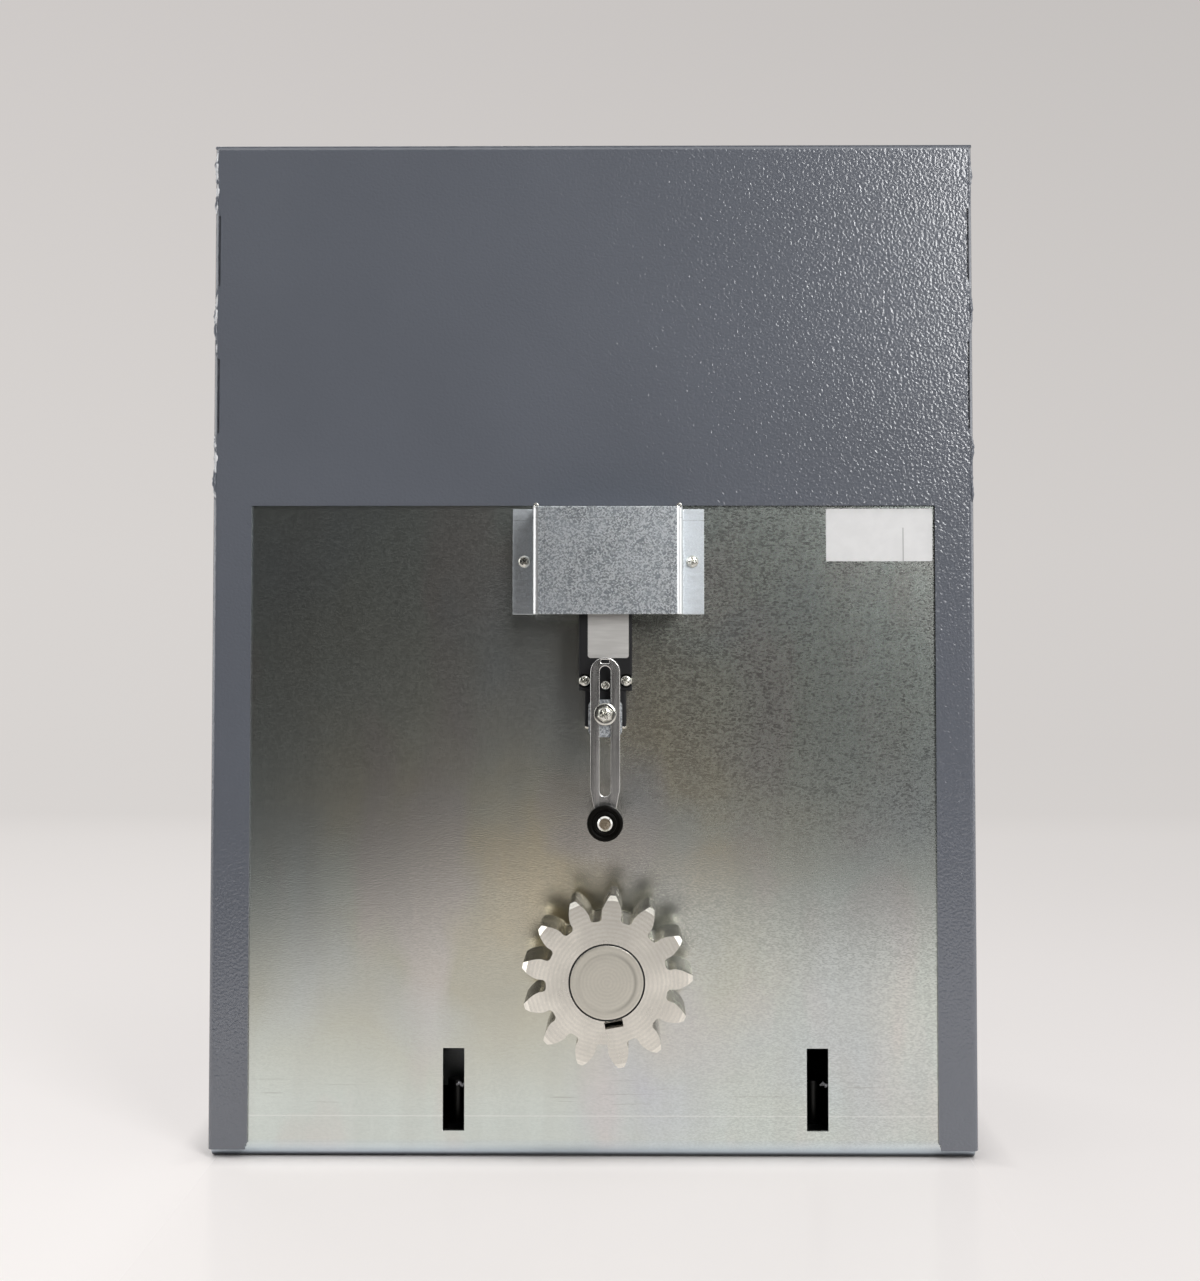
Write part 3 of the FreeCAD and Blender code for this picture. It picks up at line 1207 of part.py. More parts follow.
def door_lock():
    """Quarter-turn lock: flanged barrel through the flap and a cam behind it."""
    seat = "cover_depth / 2 + door_gap + door_rim"
    face, shoulder = f"{seat} + lock_face", "cam_y + lock_neck_length"
    barrel = revolved([("0", "cam_y"), ("lock_neck", "cam_y"), ("lock_neck", shoulder),
                       ("lock_radius", shoulder), ("lock_radius", seat), ("lock_flange", seat),
                       ("lock_flange - lock_bevel", face), ("0", face)], ("shaft_x", "0", "lock_z"), "+Y")
    cam = box(("shaft_x - cam_half", "cam_y", "lock_z - cam_half"),
              ("shaft_x + cam_length", "cam_y + cam_thickness", "lock_z + cam_half"))
    slot = box(("shaft_x - lock_slot_half", f"{face} - lock_slot_depth", "lock_z - lock_slot_width / 2"),
               ("shaft_x + lock_slot_half", f"{face} + overcut", "lock_z + lock_slot_width / 2"))
    return cut(fuse([barrel, cam]), [slot])


def release_spindle():
    """Spindle that works the dog clutch from the front of the gearbox."""
    start = "housing_front + bearing_width + spindle_gap"
    length = f"release_y + release_thick - ({start})"
    return rod("spindle_radius", length, ("shaft_x", start, "shaft_z"), "+Y")


def release_lever():
    """Forged lever: a hub on the spindle and a tapered arm."""
    body = new_body()
    hub = sketch_on(body, "XZ_Plane", "-release_y")
    circle(hub, ("shaft_x", "shaft_z"), "lever_hub_radius")
    pad(body, hub, "release_thick", flip=True)
    arm = sketch_on(body, "XZ_Plane", "-release_y")
    outline = [("arm_root_half", "arm_root"), ("release_half", "arm_taper"),
               ("release_half", "release_reach")]
    left = [(f"shaft_x - {half}", f"shaft_z + {rise}") for half, rise in outline]
    right = [(f"shaft_x + {half}", f"shaft_z + {rise}") for half, rise in outline]
    polygon(arm, left + right[::-1])
    pad(body, arm, "release_thick - release_step", flip=True)
    bore = sketch_on(body, "XZ_Plane", "-release_y")
    circle(bore, ("shaft_x", "shaft_z"), "spindle_radius")
    pocket(body, bore, "release_thick * 3", midplane=True)
    return body


def release_grip():
    """Moulded grip over the upper end of the release lever."""
    top = "shaft_z + release_reach"
    skirt, swell = f"{top} - grip_length + grip_skirt", f"{top} - grip_length + grip_swell"
    grip = revolved([("0", skirt), ("grip_radius - grip_lip", skirt), ("grip_radius", swell),
                     ("grip_radius + grip_bulge", top), ("grip_radius - grip_bevel", f"{top} + grip_edge"),
                     ("0", f"{top} + grip_dome")],
                    ("shaft_x", "release_y + (release_thick - release_step) / 2", "0"))
    slot = box(("shaft_x - release_half", "release_y", f"{top} - grip_length"),
               ("shaft_x + release_half", "release_y + release_thick - release_step", top))
    return cut(grip, [slot])


MAKERS = (
    cover_wrap, cover_top, hinge_leaves, hinge_pins, release_door, door_lock,
    chassis_plate, cable_grommet, levelling_screws, levelling_nuts, cover_screws,
    switch_guard, guard_screws, switch_body, switch_lid, switch_head, switch_screws, switch_gland,
    lever_shaft, lever_hub, lever_arm, lever_screw, roller_pin, roller,
    pinion, pinion_key, output_shaft, wheel_key, wheel_hub, wheel_rim,
    gearbox_housing, gearbox_lid, gearbox_lid_bolts, gearbox_foot_bolts, output_seal, output_bearings,
    worm_bearings, oil_plug, worm_shaft, rotor_core, cooling_fan,
    motor_flange, motor_flange_bolts, motor_frame, stator_core, stator_windings, motor_shield,
    fan_cowl, terminal_box, terminal_lid,
    control_box, control_glands, control_lid, control_lid_screws, control_board, transformer, contactors,
    release_spindle, release_lever, release_grip,
)

for maker in MAKERS:
    node(maker(), maker.__name__)
doc.recompute()

faults = [item.Label for item in doc.Objects if {"Invalid", "Error"} & set(item.State)]
for item in NODES:
    if item.Shape.isNull() or not item.Shape.isValid() or not item.Shape.Solids:
        faults.append(item.Label)
if faults:
    raise RuntimeError("these failed: " + ", ".join(faults))

os.makedirs("parts", exist_ok=True)
for item in NODES:
    item.Shape.exportStep(os.path.join("parts", item.Label + ".step"))
    print(item.Label, len(item.Shape.Solids), round(item.Shape.Volume))
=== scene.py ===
import json
import math
import random

import bpy
from mathutils import Matrix, Vector


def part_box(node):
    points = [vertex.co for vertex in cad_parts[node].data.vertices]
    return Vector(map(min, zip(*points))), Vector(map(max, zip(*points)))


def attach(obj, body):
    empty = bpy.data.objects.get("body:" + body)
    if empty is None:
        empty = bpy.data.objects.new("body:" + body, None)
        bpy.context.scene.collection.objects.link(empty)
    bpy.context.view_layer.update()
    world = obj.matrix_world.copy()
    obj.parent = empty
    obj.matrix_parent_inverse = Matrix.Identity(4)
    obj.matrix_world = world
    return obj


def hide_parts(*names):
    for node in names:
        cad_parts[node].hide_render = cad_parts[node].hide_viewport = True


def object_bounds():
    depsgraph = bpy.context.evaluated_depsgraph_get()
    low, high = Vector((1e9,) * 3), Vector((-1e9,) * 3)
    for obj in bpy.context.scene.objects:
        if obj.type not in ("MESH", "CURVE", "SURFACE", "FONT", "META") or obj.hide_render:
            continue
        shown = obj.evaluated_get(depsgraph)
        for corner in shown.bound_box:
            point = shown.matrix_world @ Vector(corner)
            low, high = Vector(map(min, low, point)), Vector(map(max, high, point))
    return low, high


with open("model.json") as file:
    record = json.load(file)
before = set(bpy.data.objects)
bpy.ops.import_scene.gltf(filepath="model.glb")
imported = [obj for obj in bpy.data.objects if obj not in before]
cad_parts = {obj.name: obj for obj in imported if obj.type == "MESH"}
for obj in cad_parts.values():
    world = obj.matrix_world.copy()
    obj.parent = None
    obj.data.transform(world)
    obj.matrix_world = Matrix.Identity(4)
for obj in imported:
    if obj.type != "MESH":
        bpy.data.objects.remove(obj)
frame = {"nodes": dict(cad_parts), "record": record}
NODES = frame["nodes"]
CAD_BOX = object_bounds()
MM = 0.001

scene = bpy.context.scene
scene.view_settings.view_transform = "Standard"


# camera: the photograph's view, with its frame cut a little above the lens axis

PHOTO_WIDTH = 1200
PHOTO_HEIGHT = 1281
FOCAL_PIXELS = 2259.4
LENS_CENTRE = (612.5, 518.3)
CAMERA_PLACE = (0.0247, -1.4475, 0.303)
CAMERA_PITCH = 2.70
CAMERA_YAW = 0.588


def add_camera():
    data = bpy.data.cameras.new("camera")
    data.lens = FOCAL_PIXELS / PHOTO_HEIGHT * data.sensor_width
    data.shift_x = (PHOTO_WIDTH / 2 - LENS_CENTRE[0]) / PHOTO_HEIGHT
    data.shift_y = (LENS_CENTRE[1] - PHOTO_HEIGHT / 2) / PHOTO_HEIGHT
    camera = bpy.data.objects.new("camera", data)
    camera.location = CAMERA_PLACE
    camera.rotation_euler = (math.radians(90 + CAMERA_PITCH), 0, math.radians(CAMERA_YAW))
    scene.collection.objects.link(camera)
    scene.camera = camera


# places on the object that both its finishes and its pieces refer to

PLATE_FACE = -0.1475
SHAFT_X = 0.009
SHAFT_Z = 0.110
SWITCH_X = 0.0077
ROLLER_Z = 0.1934
GUARD_X = 0.009
GUARD_LOW = 0.3090
GUARD_HIGH = 0.3695
GUARD_FACE = -0.1855
GUARD_HALF = 0.042
GUARD_FLANGE = 0.055
GUARD_SHEET = 1.5 * MM
GUARD_BEND = 3.4 * MM


# materials

SOCKET_NAMES = {"metallic": "Metallic", "roughness": "Roughness", "specular": "Specular IOR Level"}


class Finish:
    """A Principled material with procedural patterns, placed in the object's own frame.

    The plain colour and levels that it starts with are what is left where a pattern is dropped.
    """

    def __init__(self, name, colour, **sockets):
        self.material = bpy.data.materials.new(name)
        self.material.use_nodes = True
        self.tree = self.material.node_tree
        self.shader = self.tree.nodes["Principled BSDF"]
        self.coordinates = self.add("ShaderNodeTexCoord")
        self.where = self.coordinates.outputs["Object"]
        self.set("Base Color", colour)
        for socket, value in sockets.items():
            self.set(SOCKET_NAMES[socket], value)

    def add(self, kind, **settings):
        node = self.tree.nodes.new(kind)
        for key, value in settings.items():
            setattr(node, key, value)
        return node

    def feed(self, socket, value):
        """Give an input a link, a number or a colour."""
        if isinstance(value, bpy.types.NodeSocket):
            self.tree.links.new(value, socket)
        elif isinstance(value, (tuple, list)) and len(value) == 3 and socket.type == "RGBA":
            socket.default_value = (*value, 1)
        else:
            socket.default_value = value

    def set(self, socket, value):
        self.feed(self.shader.inputs[socket], value)

    def stretched(self, factors):
        node = self.add("ShaderNodeMapping")
        node.inputs["Scale"].default_value = factors
        self.feed(node.inputs["Vector"], self.where)
        return node.outputs["Vector"]

    def noise(self, scale, detail=2.0, stretch=None, distortion=0.0):
        """Noise from 0 to 1; scale is in features per metre."""
        node = self.add("ShaderNodeTexNoise")
        self.feed(node.inputs["Vector"], self.stretched(stretch) if stretch else self.where)
        node.inputs["Scale"].default_value = scale
        node.inputs["Detail"].default_value = detail
        node.inputs["Distortion"].default_value = distortion
        return node.outputs["Fac"]

    def flakes(self, scale):
        """A chance number for each cell of a random net, for zinc crystals."""
        node = self.add("ShaderNodeTexVoronoi", feature="F1")
        self.feed(node.inputs["Vector"], self.where)
        node.inputs["Scale"].default_value = scale
        split = self.add("ShaderNodeSeparateColor")
        self.feed(split.inputs["Color"], node.outputs["Color"])
        return split.outputs["Red"]

    def span(self, value, low, high, start=0.0, end=1.0, kind="LINEAR"):
        """The value's range low..high mapped to start..end and held there."""
        node = self.add("ShaderNodeMapRange", clamp=True, interpolation_type=kind)
        for socket, number in zip(node.inputs, (value, low, high, start, end)):
            self.feed(socket, number)
        return node.outputs["Result"]

    def math(self, operation, first, second=0.0):
        node = self.add("ShaderNodeMath", operation=operation)
        self.feed(node.inputs[0], first)
        self.feed(node.inputs[1], second)
        return node.outputs["Value"]

    def times(self, first, second):
        return self.math("MULTIPLY", first, second)

    def mix(self, share, first, second):
        node = self.add("ShaderNodeMix", data_type="RGBA")
        colours = [socket for socket in node.inputs if socket.type == "RGBA"]
        self.feed(node.inputs["Factor"], share)
        self.feed(colours[0], first)
        self.feed(colours[1], second)
        return next(socket for socket in node.outputs if socket.type == "RGBA")

    def axis(self, name):
        node = self.add("ShaderNodeSeparateXYZ")
        self.feed(node.inputs["Vector"], self.where)
        return node.outputs[name]

    def facing(self, axis):
        """How far the surface looks along an axis, -1 to 1."""
        node = self.add("ShaderNodeSeparateXYZ")
        self.feed(node.inputs["Vector"], self.coordinates.outputs["Normal"])
        return node.outputs[axis]

    def gap(self, value, place):
        return self.math("ABSOLUTE", self.math("SUBTRACT", value, place))

    def near(self, value, place, reach):
        """1 at a place along a value, falling to 0 at a reach from it."""
        return self.span(self.gap(value, place), 0, reach, 1, 0)

    def radius(self, middle_x, middle_z):
        """Distance from an axis that runs along Y."""
        across = self.math("SUBTRACT", self.axis("X"), middle_x)
        up = self.math("SUBTRACT", self.axis("Z"), middle_z)
        square = self.math("ADD", self.times(across, across), self.times(up, up))
        return self.math("SQRT", square)

    def bump(self, height, depth):
        """Relief of a depth in metres."""
        node = self.add("ShaderNodeBump")
        node.inputs["Strength"].default_value = 1
        node.inputs["Distance"].default_value = depth
        self.feed(node.inputs["Height"], height)
        self.set("Normal", node.outputs["Normal"])


def shaded(colour, factor):
    return tuple(min(1.0, factor * c) for c in colour)


# the parts of 0 to 1 that a noise mostly keeps to

MID_RANGE = (0.35, 0.65)
FULL_RANGE = (0.3, 0.7)


PAINT_GREY = (0.114, 0.123, 0.145)
PEEL_PER_METRE = 620
PEEL_DEPTH = 0.175 * MM
PAINT_ROUGHNESS = (0.15, 0.19)
DUSTY_FACING = (0.6, 0.9)
DUST_ROUGHNESS = 0.36
CLEAN_SPECULAR = 1.0
DUSTY_SPECULAR = 0.25


def textured_paint(name, colour):
    """Powder coat with a coarse orange-peel skin, dulled by dust where it looks up."""
    finish = Finish(name, colour, roughness=PAINT_ROUGHNESS[1], specular=CLEAN_SPECULAR)
    shade = finish.span(finish.noise(7, 3), *MID_RANGE)
    finish.set("Base Color", finish.mix(shade, shaded(colour, 0.96), shaded(colour, 1.04)))
    gloss = finish.span(finish.noise(900, 1), *FULL_RANGE, *PAINT_ROUGHNESS)
    up = finish.facing("Z")
    dust = finish.span(up, *DUSTY_FACING, 0, DUST_ROUGHNESS)
    finish.set("Roughness", finish.math("ADD", gloss, dust))
    specular = finish.span(up, *DUSTY_FACING, CLEAN_SPECULAR, DUSTY_SPECULAR)
    finish.set("Specular IOR Level", specular)
    finish.bump(finish.noise(PEEL_PER_METRE, 0.5, distortion=0.5), PEEL_DEPTH)
    return finish.material


# tones of the chassis plate, in the order in which they lie on each other

PLATE_TONES = {
    "zinc": (0.735, 0.80, 0.765),
    "straw": (0.82, 0.75, 0.575),
    "band": (0.50, 0.47, 0.365),
    "violet": (0.76, 0.72, 0.69),
    "blue": (0.69, 0.75, 0.775),
    "stain": (0.66, 0.68, 0.79),
    "streak": (0.60, 0.60, 0.56),
    "pits": (0.22, 0.24, 0.22),
    "scratch": (0.42, 0.42, 0.38),
    "fold": (0.92, 0.94, 0.92),
    # painted light: a bluish painted reflection low on the plate, and painted shade along its
    # bottom edge
    "painted_floor_reflection": (0.56, 0.64, 0.74),
    "edge": (0.05, 0.06, 0.08),
}

# middle and reach of the plate's marks

STRAW_X = (-0.02, 0.17)
STRAW_Z = (0.190, 0.17)
BAND_Z = (0.092, 0.06)
STAIN_X = (0.030, 0.05)
STAIN_Z = (0.036, 0.036)
SCRATCH_Z = (0.036, 12 * MM)
FOLD_LINE_Z = (0.0238, 0.5 * MM)

# the plate is dull on the left, and its pits are duller than the skin between them

DULL_SIDE = (-0.05, 0.12)
SKIN_ROUGHNESS = (0.222, 0.180)
PIT_ROUGHNESS = 0.098
PIT_DEPTH = 0.012 * MM


def zinc_plate(name):
    """Passivated zinc: rolling grain and soft clouds of straw, violet and blue tarnish."""
    zinc = PLATE_TONES["zinc"]
    finish = Finish(name, zinc, metallic=1.0, roughness=SKIN_ROUGHNESS[0])
    x, z = finish.axis("X"), finish.axis("Z")
    patch = finish.span(finish.noise(9, 3, (1, 1, 1.4), 0.5), 0.40, 0.62)
    middle = finish.times(finish.near(x, *STRAW_X), finish.near(z, *STRAW_Z))
    middle = finish.span(middle, 0, 0.5, 0.05, 1)
    lower = finish.times(finish.near(x, *STAIN_X), finish.near(z, *STAIN_Z))
    grain = finish.noise(1000, 1, (0.7, 1, 1.7))
    worn = finish.times(finish.span(x, -0.02, 0.13, 0.30, 1), finish.span(z, 0.09, 0.24, 0.30, 1))
    pits = finish.times(finish.span(grain, 0.36, 0.64), worn)
    scratch = finish.span(finish.noise(60, 0, (0.5, 1, 16)), 0.72, 0.78, 0, 0.4)
    shares = {
        "straw": finish.times(finish.span(patch, 0, 1, 0.5, 1), middle),
        "band": finish.times(finish.span(x, -0.05, 0.10, 0.5, 0.12), finish.near(z, *BAND_Z)),
        "violet": finish.span(finish.noise(13, 2, (1.3, 1, 0.6), 0.4), 0.50, 0.64, 0, 0.75),
        "blue": finish.span(finish.noise(8, 2, (1.2, 1, 0.9), 0.4), 0.54, 0.74, 0, 0.8),
        "stain": finish.times(lower, finish.span(patch, 0, 1, 1, 0.4)),
        "streak": finish.span(finish.noise(34, 2, (1.5, 1, 0.16)), 0.40, 0.66, 0, 0.22),
        "pits": finish.times(pits, 0.75),
        "scratch": finish.times(scratch, finish.near(z, *SCRATCH_Z)),
        "fold": finish.times(finish.near(z, *FOLD_LINE_Z), 0.5),
        # painted reflection of the floor above the foot, and painted shade at the bottom edge,
        # where the bend looks into the dark gap under it
        "painted_floor_reflection": finish.span(z, 3 * MM, 11 * MM, 0.75, 0),
        "edge": finish.span(z, 1.6 * MM, 3.4 * MM, 0.9, 0),
    }
    tone = zinc
    for mark, share in shares.items():
        tone = finish.mix(share, tone, PLATE_TONES[mark])
    finish.set("Base Color", tone)
    skin = finish.span(x, *DULL_SIDE, *SKIN_ROUGHNESS)
    pitted = finish.span(pits, 0.05, 0.60, 0, PIT_ROUGHNESS)
    finish.set("Roughness", finish.math("ADD", skin, pitted))
    finish.bump(grain, PIT_DEPTH)
    return finish.material


PEPPER_PER_METRE = 1350
PEPPER_RANGE = (0.25, 0.75)
PEPPER_TONES = ((0.21, 0.23, 0.25), (0.80, 0.83, 0.855))
CLOUD_TONE = (0.66, 0.71, 0.77)
FLANGE_TONE = (0.66, 0.72, 0.77)
PAINTED_BEND_HIGHLIGHT = (0.93, 0.95, 0.96)
SCRIBE_TONE = (0.12, 0.12, 0.13)
SCRIBE_HALF = 0.35 * MM
SCRIBED_X = (-0.0262, 0.0440)
SCRIBED_Z = 0.3630


def zinc_sheet(name):
    """Bright zinc with a fine salt-and-pepper skin, scribed bend lines and painted highlights on
    the front bends.
    """
    finish = Finish(name, CLOUD_TONE, metallic=1.0, roughness=0.40)
    x, y, z = finish.axis("X"), finish.axis("Y"), finish.axis("Z")
    pepper = finish.flakes(PEPPER_PER_METRE)
    cloud = finish.span(finish.noise(60, 2), *FULL_RANGE, 0, 0.25)
    tone = finish.mix(finish.span(pepper, *PEPPER_RANGE), *PEPPER_TONES)
    tone = finish.mix(cloud, tone, CLOUD_TONE)
    back = finish.span(y, GUARD_FACE + 3 * MM, GUARD_FACE + 6 * MM, 0, 0.72)
    tone = finish.mix(back, tone, FLANGE_TONE)
    # painted highlight: the front bends are lightened where they would catch the side lamps
    past_bend = finish.math("SUBTRACT", finish.gap(x, GUARD_X), GUARD_HALF - GUARD_BEND)
    bend_highlight = finish.mix(back, PAINTED_BEND_HIGHLIGHT, tone)
    tone = finish.mix(finish.span(past_bend, 0, 0.8 * MM), tone, bend_highlight)
    scribed = finish.near(z, SCRIBED_Z, SCRIBE_HALF)
    for place in SCRIBED_X:
        scribed = finish.math("MAXIMUM", scribed, finish.near(x, place, SCRIBE_HALF))
    faint = finish.times(scribed, finish.span(finish.noise(300, 2), 0.35, 0.6, 0, 0.6))
    finish.set("Base Color", finish.mix(faint, tone, SCRIBE_TONE))
    finish.set("Roughness", finish.span(pepper, *PEPPER_RANGE, 0.44, 0.36))
    return finish.material


def turned_steel(name, colour, roughness=0.42):
    """Machined steel with a faint tool trace."""
    finish = Finish(name, colour, metallic=1.0, roughness=roughness)
    cloud = finish.span(finish.noise(60, 3), 0.35, 0.7)
    fine = finish.noise(1400, 2)
    finish.set("Base Color", finish.mix(cloud, colour, shaded(colour, 0.88)))
    finish.set("Roughness", finish.span(fine, *FULL_RANGE, roughness - 0.05, roughness + 0.06))
    finish.bump(fine, 0.010 * MM)
    return finish.material


# middle and half width of a painted ring of shade on the shaft's end
SHADE_RING_RADIUS = 15.6 * MM
SHADE_RING_HALF = 1.3 * MM


def faced_steel(name, colour, roughness, pitch):
    """Steel faced on a lathe: fine rings round the output shaft's axis, hobbed flanks, and a
    painted ring of shade on the shaft's end.
    """
    finish = Finish(name, colour, metallic=1.0, roughness=roughness)
    radius = finish.radius(SHAFT_X, SHAFT_Z)
    wander = finish.times(finish.noise(90, 2), pitch)
    turns = finish.times(finish.math("ADD", radius, wander), 2 * math.pi / pitch)
    rings = finish.math("SINE", turns)
    cloud = finish.noise(45, 3)
    speck = finish.span(finish.noise(800, 2), *MID_RANGE, 0, 0.22)
    tone = finish.mix(finish.span(cloud, 0.35, 0.7), colour, shaded(colour, 0.90))
    tone = finish.mix(finish.span(rings, -1, 1, 0, 0.24), tone, shaded(colour, 0.70))
    tone = finish.mix(speck, tone, shaded(colour, 0.70))
    # painted shade: a dark ring on the shaft's end, stronger to the right, for the shade in a
    # shallow groove there
    worn = finish.span(finish.axis("X"), SHAFT_X - 2 * MM, SHAFT_X + 12 * MM, 0.2, 1)
    trace = finish.times(finish.near(radius, SHADE_RING_RADIUS, SHADE_RING_HALF), worn)
    tone = finish.mix(finish.times(trace, 0.7), tone, shaded(colour, 0.45))
    flank = finish.span(finish.math("ABSOLUTE", finish.facing("Y")), 0.2, 0.6, 1, 0)
    stripe = finish.span(finish.noise(620, 1, (1, 0.08, 1)), *MID_RANGE)
    hobbed = finish.mix(stripe, shaded(colour, 0.68), shaded(colour, 0.92))
    finish.set("Base Color", finish.mix(flank, tone, hobbed))
    finish.set("Roughness", finish.span(cloud, *FULL_RANGE, roughness - 0.06, roughness + 0.06))
    return finish.material


def plated(name, colour, roughness=0.2):
    """Bright plating with small scuffs."""
    finish = Finish(name, colour, metallic=1.0, roughness=roughness)
    scuff = finish.span(finish.noise(500, 4), 0.5, 0.8)
    finish.set("Base Color", finish.mix(scuff, colour, shaded(colour, 0.85)))
    finish.set("Roughness", finish.span(scuff, 0, 1, roughness, roughness + 0.12))
    return finish.material


RIVET_STAINS = ((0.46, 0.37, 0.26), (0.62, 0.53, 0.41))
RIVET_RIM_TONE = (0.80, 0.79, 0.75)
RIVET_RIM = (2.9 * MM, 3.3 * MM)


def rivet_steel(name):
    """Rivet with a bright rolled rim round a browner middle."""
    finish = Finish(name, RIVET_RIM_TONE, metallic=1.0, roughness=0.22)
    stain = finish.noise(700, 2)
    middle = finish.mix(finish.span(stain, *MID_RANGE), *RIVET_STAINS)
    rim = finish.span(finish.radius(SWITCH_X, ROLLER_Z), *RIVET_RIM)
    finish.set("Base Color", finish.mix(rim, middle, RIVET_RIM_TONE))
    finish.set("Roughness", finish.span(stain, *FULL_RANGE, 0.20, 0.30))
    return finish.material


CHIP_AND_GLINT_TONE = (0.60, 0.61, 0.63)


def weld_paint(name, colour):
    """Paint over a weld, thin and chipped along the crests, with pale spots mostly on the left
    that are partly chips and partly painted glints.
    """
    finish = Finish(name, colour, roughness=0.22)
    chip_and_glint = finish.span(finish.noise(260, 3, (1, 1, 0.5)), 0.50, 0.58)
    # painted highlight as well as chips: the pale spots fade to the right, as the left lamp's
    # glints do
    chip_and_glint = finish.times(chip_and_glint, finish.span(finish.axis("X"), -0.1, 0.1, 1, 0.3))
    finish.set("Base Color", finish.mix(chip_and_glint, colour, CHIP_AND_GLINT_TONE))
    finish.bump(finish.noise(900, 2), 0.10 * MM)
    return finish.material


def brushed_bright(name, colour):
    """Polished plate with lengthwise brushing and a few scratches."""
    finish = Finish(name, colour, metallic=1.0, roughness=0.24)
    brush = finish.noise(500, 1, (1.0, 1.0, 0.05))
    cloud = finish.span(finish.noise(110, 2), *MID_RANGE)
    scratch = finish.span(brush, 0.35, 0.7, 0, 0.35)
    tone = finish.mix(cloud, colour, shaded(colour, 0.84))
    finish.set("Base Color", finish.mix(scratch, tone, shaded(colour, 0.7)))
    finish.set("Roughness", finish.span(brush, *FULL_RANGE, 0.20, 0.29))
    return finish.material


def moulded(name, colour, roughness=0.42, grain=0.02, specular=0.22):
    """Injection-moulded plastic or rubber with a fine sparked grain, its depth in mm."""
    finish = Finish(name, colour, roughness=roughness, specular=specular)
    skin = finish.noise(2200, 2)
    patch = finish.span(finish.noise(40, 2), *FULL_RANGE)
    finish.set("Base Color", finish.mix(patch, colour, shaded(colour, 1.09)))
    finish.set("Roughness", finish.span(skin, *FULL_RANGE, roughness - 0.05, roughness + 0.07))
    finish.bump(skin, grain * MM)
    return finish.material


def cast_metal(name, colour, metallic=1.0, roughness=0.55, specular=0.5):
    """Sand-cast or satin-painted metal with a rough skin."""
    finish = Finish(name, colour, metallic=metallic, roughness=roughness, specular=specular)
    sand = finish.noise(900, 3)
    patch = finish.span(finish.noise(25, 3), *FULL_RANGE)
    finish.set("Base Color", finish.mix(patch, colour, shaded(colour, 0.8)))
    finish.set("Roughness", finish.span(sand, *FULL_RANGE, roughness - 0.08, roughness + 0.1))
    finish.bump(sand, 0.12 * MM)
    return finish.material


STRAND_TONES = ((0.36, 0.12, 0.05), (0.62, 0.26, 0.11))


def wound_copper(name):
    """Varnished windings with visible strands."""
    finish = Finish(name, STRAND_TONES[1], metallic=0.7, roughness=0.35)
    strand = finish.noise(300, 2, (1, 1, 4))
    finish.set("Base Color", finish.mix(strand, *STRAND_TONES))
    finish.bump(strand, 0.4 * MM)
    return finish.material


PAPER_TONE = (0.70, 0.70, 0.70)
RULE_TONE = (0.12, 0.12, 0.12)
RULE_X = 0.1784
RULE_HALF = 0.35 * MM
RULE_TOP = 0.3589


def blank_sticker(name):
    """White film label, bare but for one printed rule."""
    finish = Finish(name, PAPER_TONE, roughness=0.3)
    mottle = finish.noise(150, 2)
    tone = finish.mix(finish.span(mottle, *MID_RANGE), PAPER_TONE, shaded(PAPER_TONE, 0.95))
    below = finish.span(finish.axis("Z"), RULE_TOP - 0.2 * MM, RULE_TOP, 1, 0)
    rule = finish.times(finish.near(finish.axis("X"), RULE_X, RULE_HALF), below)
    finish.set("Base Color", finish.mix(rule, tone, RULE_TONE))
    finish.bump(mottle, 0.02 * MM)
    return finish.material


SILVER_TONES = ((0.50, 0.49, 0.47), (0.59, 0.58, 0.56))


def silver_label(name):
    """Matt silver film, bare."""
    finish = Finish(name, SILVER_TONES[0], metallic=0.5, roughness=0.42)
    brush = finish.span(finish.noise(700, 2, (0.1, 1, 1)), *FULL_RANGE)
    finish.set("Base Color", finish.mix(brush, *SILVER_TONES))
    return finish.material


# one finish for each of the record's slots, and others for single nodes and pieces

FINISHES = {
    "grey_paint": textured_paint("grey_paint", PAINT_GREY),
    "zinc_plate": zinc_plate("zinc_plate"),
    "zinc_sheet": zinc_sheet("zinc_sheet"),
    "bright_steel": turned_steel("bright_steel", (0.70, 0.68, 0.64)),
    "black_oxide": turned_steel("black_oxide", (0.045, 0.044, 0.043), 0.35),
    "fastener_zinc": plated("fastener_zinc", (0.66, 0.65, 0.60)),
    "black_plastic": moulded("black_plastic", (0.012, 0.012, 0.013)),
    "roller_plastic": moulded("roller_plastic", (0.003, 0.0026, 0.002), 0.32, specular=0.09),
    "rubber_black": moulded("rubber_black", (0.016, 0.016, 0.016), 0.7, 0.05),
    "cast_alloy": cast_metal("cast_alloy", (0.50, 0.51, 0.52)),
    "bronze": turned_steel("bronze", (0.62, 0.42, 0.20), 0.35),
    "steel_core": cast_metal("steel_core", (0.20, 0.20, 0.21), 1.0, 0.5),
    "copper_coil": wound_copper("copper_coil"),
    "motor_paint": cast_metal("motor_paint", (0.05, 0.075, 0.11), 0.0, 0.45, specular=0.25),
    "control_plastic": moulded("control_plastic", (0.50, 0.51, 0.51), 0.45, 0.03),
    "board_green": moulded("board_green", (0.012, 0.11, 0.045), 0.3),
    "grip_red": moulded("grip_red", (0.40, 0.025, 0.018), 0.35),
}
NODE_FINISHES = {
    "pinion": faced_steel("faced_pinion", (0.93, 0.90, 0.82), 0.22, 2.3 * MM),
    "output_shaft": faced_steel("faced_shaft", (0.80, 0.77, 0.68), 0.33, 1.9 * MM),
    "roller_pin": rivet_steel("pin_steel"),
}
LEVER = brushed_bright("brushed_lever", (0.76, 0.75, 0.73))
